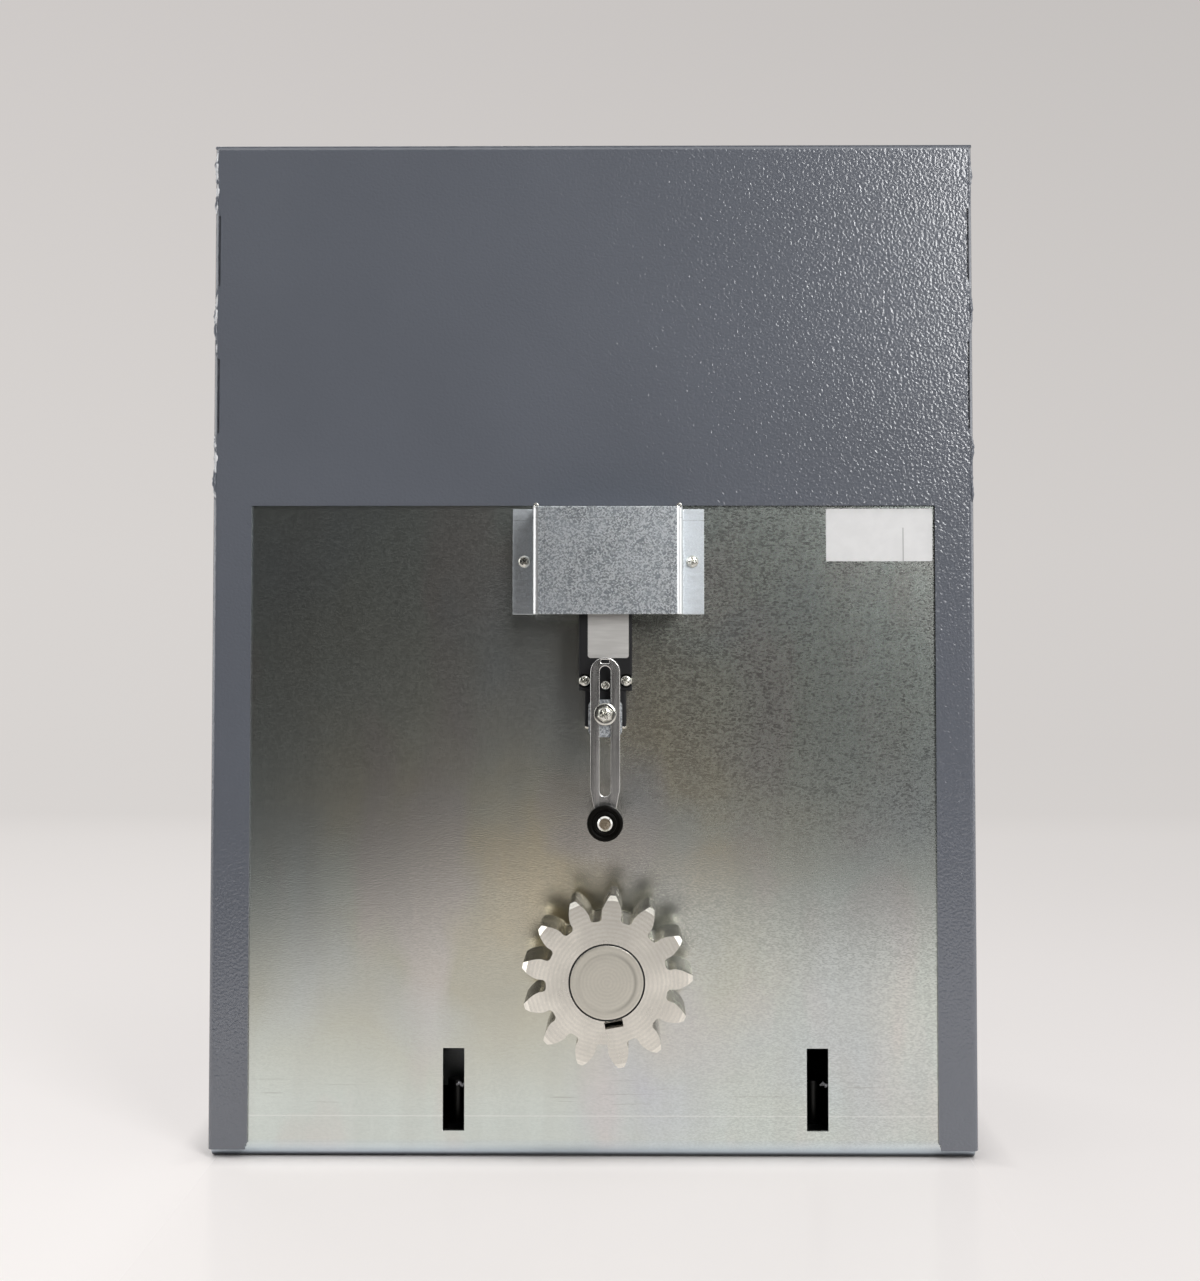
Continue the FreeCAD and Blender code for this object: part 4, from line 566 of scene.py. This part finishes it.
WELD = weld_paint("weld_paint", PAINT_GREY)
STICKER = blank_sticker("blank_sticker")
LABEL = silver_label("silver_label")


# the frame's own nodes

EASED_EDGES = {
    "switch_body": 0.5 * MM,
    "switch_lid": 0.5 * MM,
    "switch_head": 0.6 * MM,
    "chassis_plate": 0.3 * MM,
    "roller": 0.4 * MM,
}
JOIN_REACH = 0.002 * MM
SHARP_ANGLE = 40


def join_faces(item):
    join = item.modifiers.new("joined_faces", "WELD")
    join.merge_threshold = JOIN_REACH


def ease_edges(item, width):
    """Round the sharp edges of a piece whose faces are joined."""
    ease = item.modifiers.new("eased_edge", "BEVEL")
    ease.width = width
    ease.segments = 3
    ease.limit_method = "ANGLE"
    ease.angle_limit = math.radians(SHARP_ANGLE)
    ease.use_clamp_overlap = False
    item.modifiers.new("flat_faces", "WEIGHTED_NORMAL")


def dress_frame():
    for item in frame["record"]["subparts"]:
        finish = NODE_FINISHES.get(item["node"], FINISHES[item["material_slot"]])
        for slot in NODES[item["node"]].material_slots:
            slot.material = finish
    for name, width in EASED_EDGES.items():
        join_faces(NODES[name])
        ease_edges(NODES[name], width)


# mesh helpers

TO_GATE = Matrix.Rotation(math.radians(90), 4, "X")
DOWNWARD = Matrix.Rotation(math.radians(180), 4, "X")


def twisted(degrees):
    """Turns a form about its own axis, then points it towards the gate."""
    return TO_GATE @ Matrix.Rotation(math.radians(degrees), 4, "Z")


def add_piece(mesh, name, finish, body, smooth=True):
    if smooth:
        mesh.shade_smooth()
    mesh.materials.append(finish)
    item = bpy.data.objects.new(name, mesh)
    scene.collection.objects.link(item)
    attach(item, body)
    return item


class Shell:
    """Points and faces that several helpers add to before they become one piece."""

    def __init__(self):
        self.points = []
        self.faces = []

    def add(self, points, faces, turn=None, place=(0, 0, 0)):
        start = len(self.points)
        move = Matrix.Translation(place) @ (turn or Matrix())
        self.points += [tuple(move @ Vector(point)) for point in points]
        self.faces += [tuple(start + i for i in face) for face in faces]

    def piece(self, name, finish, body, smooth=True):
        mesh = bpy.data.meshes.new(name)
        mesh.from_pydata(self.points, [], self.faces)
        mesh.validate()
        mesh.update()
        return add_piece(mesh, name, finish, body, smooth)


def open_tube(count, segments):
    """Faces between closed rings of points, with both ends left open."""
    faces = []
    for ring_index in range(count - 1):
        for i in range(segments):
            near = ring_index * segments + i
            far = ring_index * segments + (i + 1) % segments
            faces.append((near, far, far + segments, near + segments))
    return faces


def capped_tube(count, segments):
    """Faces between closed rings of points, with a cap on each end."""
    faces = open_tube(count, segments)
    faces.append(tuple(range(segments - 1, -1, -1)))
    faces.append(tuple(range((count - 1) * segments, count * segments)))
    return faces


def turned_points(profile, segments):
    """Rings of points round Z, one for each (radius, height) of a profile."""
    points = []
    for radius, height in profile:
        for i in range(segments):
            turn = 2 * math.pi * i / segments
            points.append((radius * math.cos(turn), radius * math.sin(turn), height))
    return points


def lathe(profile, segments, form=None):
    """A turned form round Z, whose profile starts and ends off the axis.

    `form` may change the radius by angle, and the height by place.
    """
    points = turned_points(profile, segments)
    if form:
        points = [form(*point) for point in points]
    return points, capped_tube(len(profile), segments)


def ring(profile, segments):
    """A turned form with a hole: its profile closes on itself."""
    faces = open_tube(len(profile), segments)
    last = (len(profile) - 1) * segments
    for i in range(segments):
        following = (i + 1) % segments
        faces.append((last + i, last + following, following, i))
    return turned_points(profile, segments), faces


def in_mm(profile):
    return [(radius * MM, height * MM) for radius, height in profile]


def rounded_outline(low, high, radius, steps=8):
    """The outline of a rectangle with round corners, as (x, z) points."""
    middles = [
        (high[0] - radius, high[1] - radius, 0),
        (low[0] + radius, high[1] - radius, 90),
        (low[0] + radius, low[1] + radius, 180),
        (high[0] - radius, low[1] + radius, 270),
    ]
    outline = []
    for x, z, start in middles:
        outline += arc((x, z), radius, start, start + 90, steps)
    return outline


def arc(middle, radius, start, end, steps=10):
    points = []
    for i in range(steps + 1):
        turn = math.radians(start + (end - start) * i / steps)
        points.append((middle[0] + radius * math.cos(turn), middle[1] + radius * math.sin(turn)))
    return points


# labels

STICKER_BOX = ((0.1341, 0.3395), (0.1953, 0.3698))
STICKER_CORNER = 0.8 * MM
STICKER_THICK = 0.22 * MM
LABEL_BOX = ((-0.0022, 0.2844), (0.0208, 0.3180))
LABEL_CORNER = 1.6 * MM
LABEL_THICK = 0.2 * MM
LID_FACE = -0.1775


def film(low, high, radius, back, thickness):
    """A thin label on a face that looks towards the gate.

    Its corners are round, and its front edge is softened.
    """
    ease = 0.4 * thickness
    layers = [(0.0, back), (0.0, back - thickness + ease), (ease, back - thickness)]
    points = []
    for inset, y in layers:
        inner_low = (low[0] + inset, low[1] + inset)
        inner_high = (high[0] - inset, high[1] - inset)
        points += [(x, y, z) for x, z in rounded_outline(inner_low, inner_high, radius)]
    return points, capped_tube(len(layers), len(points) // len(layers))


def add_labels():
    sticker = Shell()
    sticker.add(*film(*STICKER_BOX, STICKER_CORNER, PLATE_FACE, STICKER_THICK))
    sticker.piece("rating_sticker", STICKER, "chassis", smooth=False)
    label = Shell()
    label.add(*film(*LABEL_BOX, LABEL_CORNER, LID_FACE, LABEL_THICK))
    label.piece("switch_label", LABEL, "chassis", smooth=False)


# slotted lever

LEVER_FACE = -0.1870
LEVER_THICK = 2.5 * MM
LEVER_EDGE = 0.6 * MM
LEVER_HALF = 8.3 * MM
LEVER_TOP = 0.2850
TAPER_TOP = 0.2120
TAPER_LOW = 0.2017
TIP_HALF = 6.4 * MM
SLOT_HALF = 3.05 * MM
SLOT_LOW = 0.2078
SLOT_HIGH = 0.2799
NIB = ((-2.3 * MM, 0.2817), (2.3 * MM, 0.2835))
NIB_CORNER = 0.5 * MM
PIN_HOLE = 2.5 * MM


def pressed_plate(outlines, thickness, edge):
    """Sheet with rolled edges, cut to outlines: the first is the outside, the rest are holes."""
    cut = bpy.data.curves.new("cut", "CURVE")
    cut.dimensions = "2D"
    cut.fill_mode = "BOTH"
    cut.extrude = thickness / 2 - edge
    cut.bevel_depth = edge
    cut.bevel_resolution = 3
    cut.offset = -edge
    for outline in outlines:
        spline = cut.splines.new("POLY")
        spline.points.add(len(outline) - 1)
        for point, (x, z) in zip(spline.points, outline):
            point.co = (x, z, 0, 1)
        spline.use_cyclic_u = True
    holder = bpy.data.objects.new("cut", cut)
    mesh = bpy.data.meshes.new_from_object(holder)
    bpy.data.objects.remove(holder)
    bpy.data.curves.remove(cut)
    return mesh


def add_lever():
    outside = arc((0, ROLLER_Z), TIP_HALF, 180, 360, 24)
    outside += [(TIP_HALF, TAPER_LOW), (LEVER_HALF, TAPER_TOP)]
    outside += arc((0, LEVER_TOP - LEVER_HALF), LEVER_HALF, 0, 180, 32)
    outside += [(-LEVER_HALF, TAPER_TOP), (-TIP_HALF, TAPER_LOW)]
    slot = arc((0, SLOT_LOW + SLOT_HALF), SLOT_HALF, 180, 360, 20)
    slot += arc((0, SLOT_HIGH - SLOT_HALF), SLOT_HALF, 0, 180, 20)
    nib = rounded_outline(*NIB, NIB_CORNER)
    hole = arc((0, ROLLER_Z), PIN_HOLE, 0, 345, 23)
    mesh = pressed_plate([outside, slot[::-1], nib[::-1], hole[::-1]], LEVER_THICK, LEVER_EDGE)
    middle = (SWITCH_X, LEVER_FACE + LEVER_THICK / 2, 0)
    mesh.transform(Matrix.Translation(middle) @ TO_GATE)
    lever = add_piece(mesh, "slotted_lever", LEVER, "lever")
    join_faces(lever)
    lever.modifiers.new("flat_faces", "WEIGHTED_NORMAL")
    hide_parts("lever_arm")


# screws, in mm: the recess is a cross with arms of a reach, width and depth

SCREWS = {
    "guard": dict(radius=3.6, height=2.2, shank=1.9, length=6, arm=2.0, width=0.9, depth=1.3),
    "switch": dict(radius=3.5, height=2.6, shank=1.9, length=30, arm=1.9, width=0.85, depth=1.4),
    "clamp": dict(radius=4.4, height=2.9, shank=2.5, length=3.4, arm=2.5, width=1.2, depth=1.6),
    "lid": dict(radius=2.6, height=1.5, shank=1.2, length=2, arm=1.7, width=0.7, depth=0.9),
    "corner": dict(radius=2.5, height=1.7, shank=1.2, length=2, arm=1.5, width=0.6, depth=0.8),
}
WASHER_THICK = 1.2
WASHER_PROFILE = ((2.6, -0.1), (6.0, 0), (6.25, 0.25), (6.25, 0.85), (5.95, 1.15),
                  (5.0, WASHER_THICK), (2.6, WASHER_THICK))

# a head's rim and crown, as shares of its radius and height

HEAD_RIM = ((0.97, 0), (1, 0.10), (1, 0.30), (0.95, 0.42), (0.83, 0.66))
HEAD_CROWN = 0.74
CROWN_DROP = 0.22
CROWN_STEPS = 22
CROWN_END = 0.012

# places of the screws: distance from the middle, and the twist on the left and right

GUARD_SCREW_X = 0.0482
GUARD_SCREW_Z = 0.3393
GUARD_SCREW_SEAT = 1.7 * MM
GUARD_SCREW_TWISTS = {-1: 42, 1: 12}
SWITCH_SCREW_X = 0.0116
SWITCH_SCREW_Z = 0.2716
SWITCH_SCREW_SEAT = 2.0 * MM
SWITCH_SCREW_TWISTS = {-1: 20, 1: 65}
PIVOT_Z = 0.2533
CLAMP_TWIST = 20
LID_SCREW_Z = 0.2691
LID_SCREW_TWIST = 38
CORNER_SCREW_X = 9.4 * MM
CORNER_SCREW_Z = 0.2462
CORNER_SCREW_SEAT = 3.2 * MM


def fade(value, edge, blur):
    """1 below an edge and 0 above it, with a soft step between."""
    share = min(1.0, max(0.0, (edge + blur - value) / (2 * blur)))
    return share * share * (3 - 2 * share)


def screw_head(radius, height, shank, length, arm, width, depth, sides=0):
    """A headed screw along +Z with a cross recess; with sides, its rim is a polygon."""
    profile = [(shank, -length), (shank, 0)]
    profile += [(reach * radius, rise * height) for reach, rise in HEAD_RIM]
    for i in range(CROWN_STEPS + 1):
        share = HEAD_CROWN * (1 - i / CROWN_STEPS) + CROWN_END
        profile.append((share * radius, height * (1 - CROWN_DROP * (share / HEAD_CROWN) ** 2)))

    def form(x, y, z):
        reach = math.hypot(x, y)
        if sides and reach > 0.78 * radius and z > -0.01 * height:
            half = math.pi / sides
            turn = (math.atan2(y, x) % (2 * half)) - half
            grow = 1.06 * math.cos(half) / math.cos(turn)
            x, y = x * grow, y * grow
        if z > 0.7 * height and reach < HEAD_CROWN * radius:
            blur = 0.22 * width
            along_y = fade(abs(x), width / 2, blur) * fade(abs(y), arm, blur)
            along_x = fade(abs(y), width / 2, blur) * fade(abs(x), arm, blur)
            z -= depth * max(along_y, along_x)
        return x, y, z

    return lathe(profile[::-1], 96, form)


def screw(kind, sides=0):
    sizes = {key: value * MM for key, value in SCREWS[kind].items()}
    return screw_head(**sizes, sides=sides)


def add_screws():
    zinc = FINISHES["fastener_zinc"]
    guard = Shell()
    for side, twist in GUARD_SCREW_TWISTS.items():
        place = (GUARD_X + side * GUARD_SCREW_X, PLATE_FACE - GUARD_SCREW_SEAT, GUARD_SCREW_Z)
        guard.add(*screw("guard"), twisted(twist), place)
    heads = guard.piece("guard_screw_heads", zinc, "chassis")
    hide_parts("guard_screws")
    switch = Shell()
    for side, twist in SWITCH_SCREW_TWISTS.items():
        place = (SWITCH_X + side * SWITCH_SCREW_X, LID_FACE + SWITCH_SCREW_SEAT, SWITCH_SCREW_Z)
        switch.add(*screw("switch"), twisted(twist), place)
    heads = switch.piece("switch_screw_heads", zinc, "chassis")
    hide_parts("switch_screws")
    clamp = Shell()
    washer = lathe(in_mm(WASHER_PROFILE)[::-1], 96)
    clamp.add(*washer, TO_GATE, (SWITCH_X, LEVER_FACE, PIVOT_Z))
    place = (SWITCH_X, LEVER_FACE - WASHER_THICK * MM, PIVOT_Z)
    clamp.add(*screw("clamp", sides=6), twisted(CLAMP_TWIST), place)
    head = clamp.piece("lever_clamp_screw", zinc, "lever")
    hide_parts("lever_screw")
    lid = Shell()
    lid.add(*screw("lid"), twisted(LID_SCREW_TWIST), (SWITCH_X, LID_FACE, LID_SCREW_Z))
    for x in (SWITCH_X - CORNER_SCREW_X, SWITCH_X + CORNER_SCREW_X):
        lid.add(*screw("corner"), DOWNWARD, (x, LID_FACE + CORNER_SCREW_SEAT, CORNER_SCREW_Z))
    lid.piece("switch_lid_screws", zinc, "chassis")


# switch guard, bent by hand from sheet, so its flanges don't lie quite flat

LIP_BEND = 0.9 * MM
FLANGE_LIFT = {-1: 0.3 * MM, 1: 0.12 * MM}
FLANGE_ROOT = 1.2 * MM
GUARD_EASE = 0.25 * MM
EAR_INSET = 1.9 * MM
EAR_RISE = 0.3 * MM
EAR_PROFILE = ((0.55, 0.0), (1.35, 0.0), (1.5, 0.15), (1.5, 1.2), (1.3, 1.4), (0.75, 1.4),
               (0.55, 1.2))


def guard_side(side):
    """Plan of half the guard's outside, from a flange's edge to the front, as (x, y) points."""
    skin = PLATE_FACE - GUARD_SHEET
    edge = GUARD_X + side * GUARD_FLANGE
    wall = GUARD_X + side * GUARD_HALF
    raised = skin - FLANGE_LIFT[side]
    middle = (wall - side * GUARD_BEND, GUARD_FACE + GUARD_BEND)
    start = 180 if side < 0 else 360
    path = [(edge, skin), (wall + side * FLANGE_ROOT, raised), (wall, raised - FLANGE_ROOT)]
    return path + arc(middle, GUARD_BEND, start, 270)


def add_guard():
    left, right = guard_side(-1), guard_side(1)[::-1]
    lip_start = GUARD_HIGH - LIP_BEND
    shell = Shell()
    for half in (left, right):
        points = [(x, y, z) for x, y in half for z in (GUARD_LOW, lip_start, GUARD_HIGH)]
        faces = []
        for i in range(len(half) - 1):
            for row in range(2):
                low = 3 * i + row
                faces.append((low, low + 3, low + 4, low + 1))
        shell.add(points, faces)
    bend = [(GUARD_FACE, GUARD_LOW), (GUARD_FACE, lip_start)]
    for dy, dz in arc((0, 0), LIP_BEND, 0, 90)[1:]:
        bend.append((GUARD_FACE + LIP_BEND - dy, lip_start + dz))
    bend.append((PLATE_FACE, GUARD_HIGH))
    start, end = left[-1][0], right[0][0]
    points = [(x, y, z) for y, z in bend for x in (start, end)]
    faces = [(2 * i, 2 * i + 1, 2 * i + 3, 2 * i + 2) for i in range(len(bend) - 1)]
    shell.add(points, faces)
    guard = shell.piece("folded_guard", FINISHES["zinc_sheet"], "chassis")
    join_faces(guard)
    thick = guard.modifiers.new("sheet", "SOLIDIFY")
    thick.thickness = GUARD_SHEET
    thick.offset = -1
    ease_edges(guard, GUARD_EASE)
    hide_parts("switch_guard")
    ears = Shell()
    for side in (-1, 1):
        x = GUARD_X + side * (GUARD_HALF - EAR_INSET)
        place = (x, GUARD_FACE + EAR_INSET, GUARD_HIGH + EAR_RISE)
        ears.add(*ring(in_mm(EAR_PROFILE), 48), TO_GATE, place)
    ears.piece("guard_ears", FINISHES["fastener_zinc"], "chassis")


# stitch welds on the cover's corners, painted over

CORNER_X = 0.2178
CORNER_Y = -0.1490
WELDS = {
    -1: ((0.3735, 0.4125), (0.4575, 0.4980), (0.5405, 0.5770)),
    1: ((0.3735, 0.4145), (0.4670, 0.5010), (0.5445, 0.5770)),
}
WELD_SEED = 7
WELD_RADIUS = 1.3 * MM
WELD_DRIFT = 0.5 * MM
WINDOW_WELD_X = 0.2035
WINDOW_WELD_Z = 0.3725
WINDOW_WELD_HALF = 4 * MM
WINDOW_WELD_SLANT = 62


def weld_bead(low, high, draw):
    """A lumpy run of weld along Z, fading out at both ends."""
    steps, around = 46, 14
    points = []
    lumps = [(draw.uniform(0, 2 * math.pi), draw.uniform(0.7, 1.3)) for _ in range(4)]
    for i in range(steps + 1):
        share = i / steps
        z = low + (high - low) * share
        fade_out = min(1.0, 6 * share, 6 * (1 - share)) ** 0.6
        swell = sum(math.sin(phase + 2 * math.pi * share * 3.7 * rate * (k + 1)) / (k + 1.5)
                    for k, (phase, rate) in enumerate(lumps))
        radius = WELD_RADIUS * max(0.05, fade_out) * (0.86 + 0.24 * swell)
        drift = WELD_DRIFT * math.sin(lumps[0][0] + 9 * share)
        for k in range(around):
            turn = 2 * math.pi * k / around
            points.append((drift + radius * math.cos(turn), radius * math.sin(turn), z))
    return points, capped_tube(steps + 1, around)


def add_welds():
    draw = random.Random(WELD_SEED)
    shell = Shell()
    for side, runs in WELDS.items():
        for low, high in runs:
            shell.add(*weld_bead(low, high, draw), None, (side * CORNER_X, CORNER_Y, 0))
    shell.piece("corner_welds", WELD, "cover")
    slant = Matrix.Rotation(math.radians(WINDOW_WELD_SLANT), 4, "Y")
    place = (WINDOW_WELD_X, CORNER_Y, WINDOW_WELD_Z)
    spot = Shell()
    spot.add(*weld_bead(-WINDOW_WELD_HALF, WINDOW_WELD_HALF, draw), slant, place)
    spot.piece("window_weld", FINISHES["grey_paint"], "cover")


# a torn burr on one edge of each punched slot

SLOT_EDGES = (-0.0731, 0.1341)
BURR_SEED = 3
BURR_Z = 0.0415
BURR_HALF = 2.6 * MM
BURR_REACH = 2.2 * MM
BURR_DEPTH = 1.2 * MM
BURR_SLANT = 97


def add_burrs():
    draw = random.Random(BURR_SEED)
    across = Matrix.Rotation(math.radians(BURR_SLANT), 4, "Y")
    shell = Shell()
    for x in SLOT_EDGES:
        place = (x - BURR_REACH, PLATE_FACE + BURR_DEPTH, BURR_Z)
        shell.add(*weld_bead(-BURR_HALF, BURR_HALF, draw), across, place)
    shell.piece("slot_burrs", FINISHES["steel_core"], "chassis")


# the shaft's end as the lathe left it, a black ring in the pinion's bore that stands for dirt and
# painted shade in the gap round the shaft, and the ridge on the roller's face, as (radius, height)
# in mm

SHAFT_PROFILE = ((19.8, 0.0), (19.8, 0.06), (19.6, 0.09), (19.0, 0.10), (16.2, 0.10),
                 (15.8, 0.085), (15.5, 0.08), (15.2, 0.09), (14.8, 0.10), (7.0, 0.105),
                 (6.2, 0.09), (5.6, 0.10), (4.2, 0.105), (3.7, 0.09), (3.2, 0.10),
                 (1.8, 0.105), (1.2, 0.085), (0.5, 0.10))
BORE_DIRT_AND_SHADE_PROFILE = ((19.2, -0.60), (19.2, 0.02), (19.7, 0.05), (20.3, 0.04), (20.6, 0.0), (20.1, -0.60))
ROLLER_RIDGE = ((4.9, -0.8), (4.9, 0.15), (5.2, 0.40), (5.9, 0.45), (6.3, 0.30), (6.5, -0.8))


def add_shaft_end():
    place = (SHAFT_X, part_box("output_shaft")[0].y, SHAFT_Z)
    face = Shell()
    face.add(*lathe(in_mm(SHAFT_PROFILE), 128), TO_GATE, place)
    face.piece("shaft_end_face", NODE_FINISHES["output_shaft"], "output")
    # a black ring laid in the bore's chamfer: dirt in the joint, and painted shade in the gap
    # round the shaft
    gap = Shell()
    gap.add(*ring(in_mm(BORE_DIRT_AND_SHADE_PROFILE), 128), TO_GATE, place)
    gap.piece("bore_dirt_and_shade", FINISHES["rubber_black"], "output")


def add_roller_ridge():
    low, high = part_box("roller")
    place = ((low.x + high.x) / 2, low.y, (low.z + high.z) / 2)
    ridge = Shell()
    ridge.add(*ring(in_mm(ROLLER_RIDGE), 96), TO_GATE, place)
    ridge.piece("roller_ridge", FINISHES["roller_plastic"], "roller")


# stage: a pale sweep, lit from both sides, with a dark room on the camera's side

STUDIO_RADIUS = 5.2
COVE_RADIUS = 1.0
WALL_TOP = 3.6
FLAT_RADII = (0.5, 1.5, 3.0)
# painted falloff of light: the floor is lighter on the left, and the wall darker to the right and
# towards its top
FLOOR_TONES = ((0.96, 0.92, 0.90), (0.85, 0.815, 0.80))
WALL_TONES = ((0.72, 0.69, 0.67), (0.665, 0.637, 0.62))
WALL_TOP_TONES = ((0.645, 0.615, 0.60), (0.58, 0.555, 0.54))
ROOM_TONE = (0.024, 0.023, 0.022)
GLOSSY_FLOOR = 0.16
MATT_FLOOR = 0.9
NEAR_GLOW = 0.66
FAR_GLOW = 0.95
CONTACT_REACH = 0.022

# where one tone turns into the next

FLOOR_X = (-0.5, 0.6)
WALL_X = (-1.8, 1.8)
WALL_Y = (0.1, 2.2)
WALL_Z = (0.5, 2.1)
GLOW_Y = (0.2, 1.8)
MATT_Y = (0.0, 0.3)
MATT_BESIDE = (-0.02, 0.08)
DARK_Y = (-0.60, 0.30)
DARK_SIDE_Y = (0, 1.6)
DARK_SIDE_Z = (0, 0.4)

# the dark floor's edge runs from far forward on the left to nearer on the right: x, then y

LEFT_EDGE = (-0.40, -0.04, -0.58, -1.55)
RIGHT_EDGE = (-0.08, 0.35, 0, 0.42)


def stage_material():
    """Pale sweep with painted falloff of light, greyer up the wall and to the right, glossy only
    in front of the object.

    The camera and reflections see part of it unshaded, except close to the object.
    """
    finish = Finish("stage", FLOOR_TONES[0], roughness=GLOSSY_FLOOR, specular=0.3)
    x, y, z = finish.axis("X"), finish.axis("Y"), finish.axis("Z")
    floor = finish.mix(finish.span(x, *FLOOR_X), *FLOOR_TONES)
    across = finish.span(x, *WALL_X)
    low, high = finish.mix(across, *WALL_TONES), finish.mix(across, *WALL_TOP_TONES)
    wall = finish.mix(finish.span(z, *WALL_Z), low, high)
    tone = finish.mix(finish.span(y, *WALL_Y), floor, wall)
    left = finish.span(x, *LEFT_EDGE, "SMOOTHSTEP")
    edge = finish.math("ADD", left, finish.span(x, *RIGHT_EDGE, "SMOOTHSTEP"))
    dark = finish.span(finish.math("SUBTRACT", y, edge), *DARK_Y, 1, 0, "SMOOTHSTEP")
    side = finish.times(finish.span(z, *DARK_SIDE_Z), finish.span(y, *DARK_SIDE_Y, 1, 0))
    dark = finish.math("MAXIMUM", dark, side)
    tone = finish.mix(dark, tone, ROOM_TONE)
    finish.set("Base Color", tone)

    beside = finish.math("SUBTRACT", finish.math("ABSOLUTE", x), CAD_BOX[1].x)
    before = finish.math("SUBTRACT", finish.math("ABSOLUTE", y), -PLATE_FACE)
    matt = finish.math("MAXIMUM", finish.span(y, *MATT_Y), finish.span(beside, *MATT_BESIDE))
    finish.set("Roughness", finish.span(matt, 0, 1, GLOSSY_FLOOR, MATT_FLOOR))

    path = finish.add("ShaderNodeLightPath")
    seen = finish.math("MAXIMUM", path.outputs["Is Camera Ray"], path.outputs["Is Glossy Ray"])
    seen = finish.math("MAXIMUM", seen, path.outputs["Is Transmission Ray"])
    clear = finish.span(finish.math("MAXIMUM", beside, before), 0, CONTACT_REACH)
    share = finish.math("MAXIMUM", finish.span(y, *GLOW_Y, NEAR_GLOW, FAR_GLOW), dark)
    glow = finish.add("ShaderNodeEmission")
    finish.feed(glow.inputs["Color"], tone)
    blend = finish.add("ShaderNodeMixShader")
    finish.feed(blend.inputs[0], finish.times(finish.times(seen, clear), share))
    finish.feed(blend.inputs[1], finish.shader.outputs[0])
    finish.feed(blend.inputs[2], glow.outputs[0])
    output = next(node for node in finish.tree.nodes if node.type == "OUTPUT_MATERIAL")
    finish.feed(output.inputs["Surface"], blend.outputs[0])
    return finish.material


def add_stage():
    """A round floor that bends up into a wall behind the object, open on the camera's side."""
    segments = 96
    bend = arc((STUDIO_RADIUS - COVE_RADIUS, COVE_RADIUS), COVE_RADIUS, -90, 0, 16)
    profile = [(radius, 0.0) for radius in FLAT_RADII] + bend + [(STUDIO_RADIUS, WALL_TOP)]
    faces = [tuple(range(segments))]
    for near in range(len(profile) - 1):
        around = segments if near < len(FLAT_RADII) else segments // 2
        for i in range(around):
            first = near * segments + i
            second = near * segments + (i + 1) % segments
            faces.append((first, first + segments, second + segments, second))
    mesh = bpy.data.meshes.new("floor")
    mesh.from_pydata(turned_points(profile, segments), [], faces)
    mesh.shade_smooth()
    mesh.materials.append(stage_material())
    floor = bpy.data.objects.new("floor", mesh)
    scene.collection.objects.link(floor)


# lamps: place, target, size in metres and power in watts

SOFTBOXES = {
    "overhead": ((-0.1, -1.45, 2.4), (-0.1, -1.45, 0), (4.2, 2.2), 32),
    "right_box": ((0.90, -2.0, 1.31), (0.1, 0, 0.4), (0.66, 1.5), 35),
    "left_wall": ((-1.9, -0.15, 0.85), (0, -0.15, 0.5), (1.7, 1.5), 16),
    "right_wall": ((1.9, -0.05, 0.85), (0, -0.05, 0.5), (1.7, 1.5), 14),
    "back_fill": ((-0.9, 2.6, 2.7), (0, 0, 0.3), (1.6, 1.2), 32),
}


def add_softbox(name, place, target, size, power):
    data = bpy.data.lights.new(name, "AREA")
    data.shape = "RECTANGLE"
    data.size, data.size_y = size
    data.energy = power
    lamp = bpy.data.objects.new(name, data)
    lamp.location = place
    lamp.rotation_euler = (Vector(target) - Vector(place)).to_track_quat("-Z", "Y").to_euler()
    scene.collection.objects.link(lamp)


def add_light():
    world = bpy.data.worlds.new("room")
    world.use_nodes = True
    world.node_tree.nodes["Background"].inputs["Color"].default_value = (*ROOM_TONE, 1)
    scene.world = world
    for name, settings in SOFTBOXES.items():
        add_softbox(name, *settings)


add_camera()
dress_frame()
add_labels()
add_lever()
add_screws()
add_guard()
add_shaft_end()
add_roller_ridge()
add_welds()
add_burrs()
add_stage()
add_light()
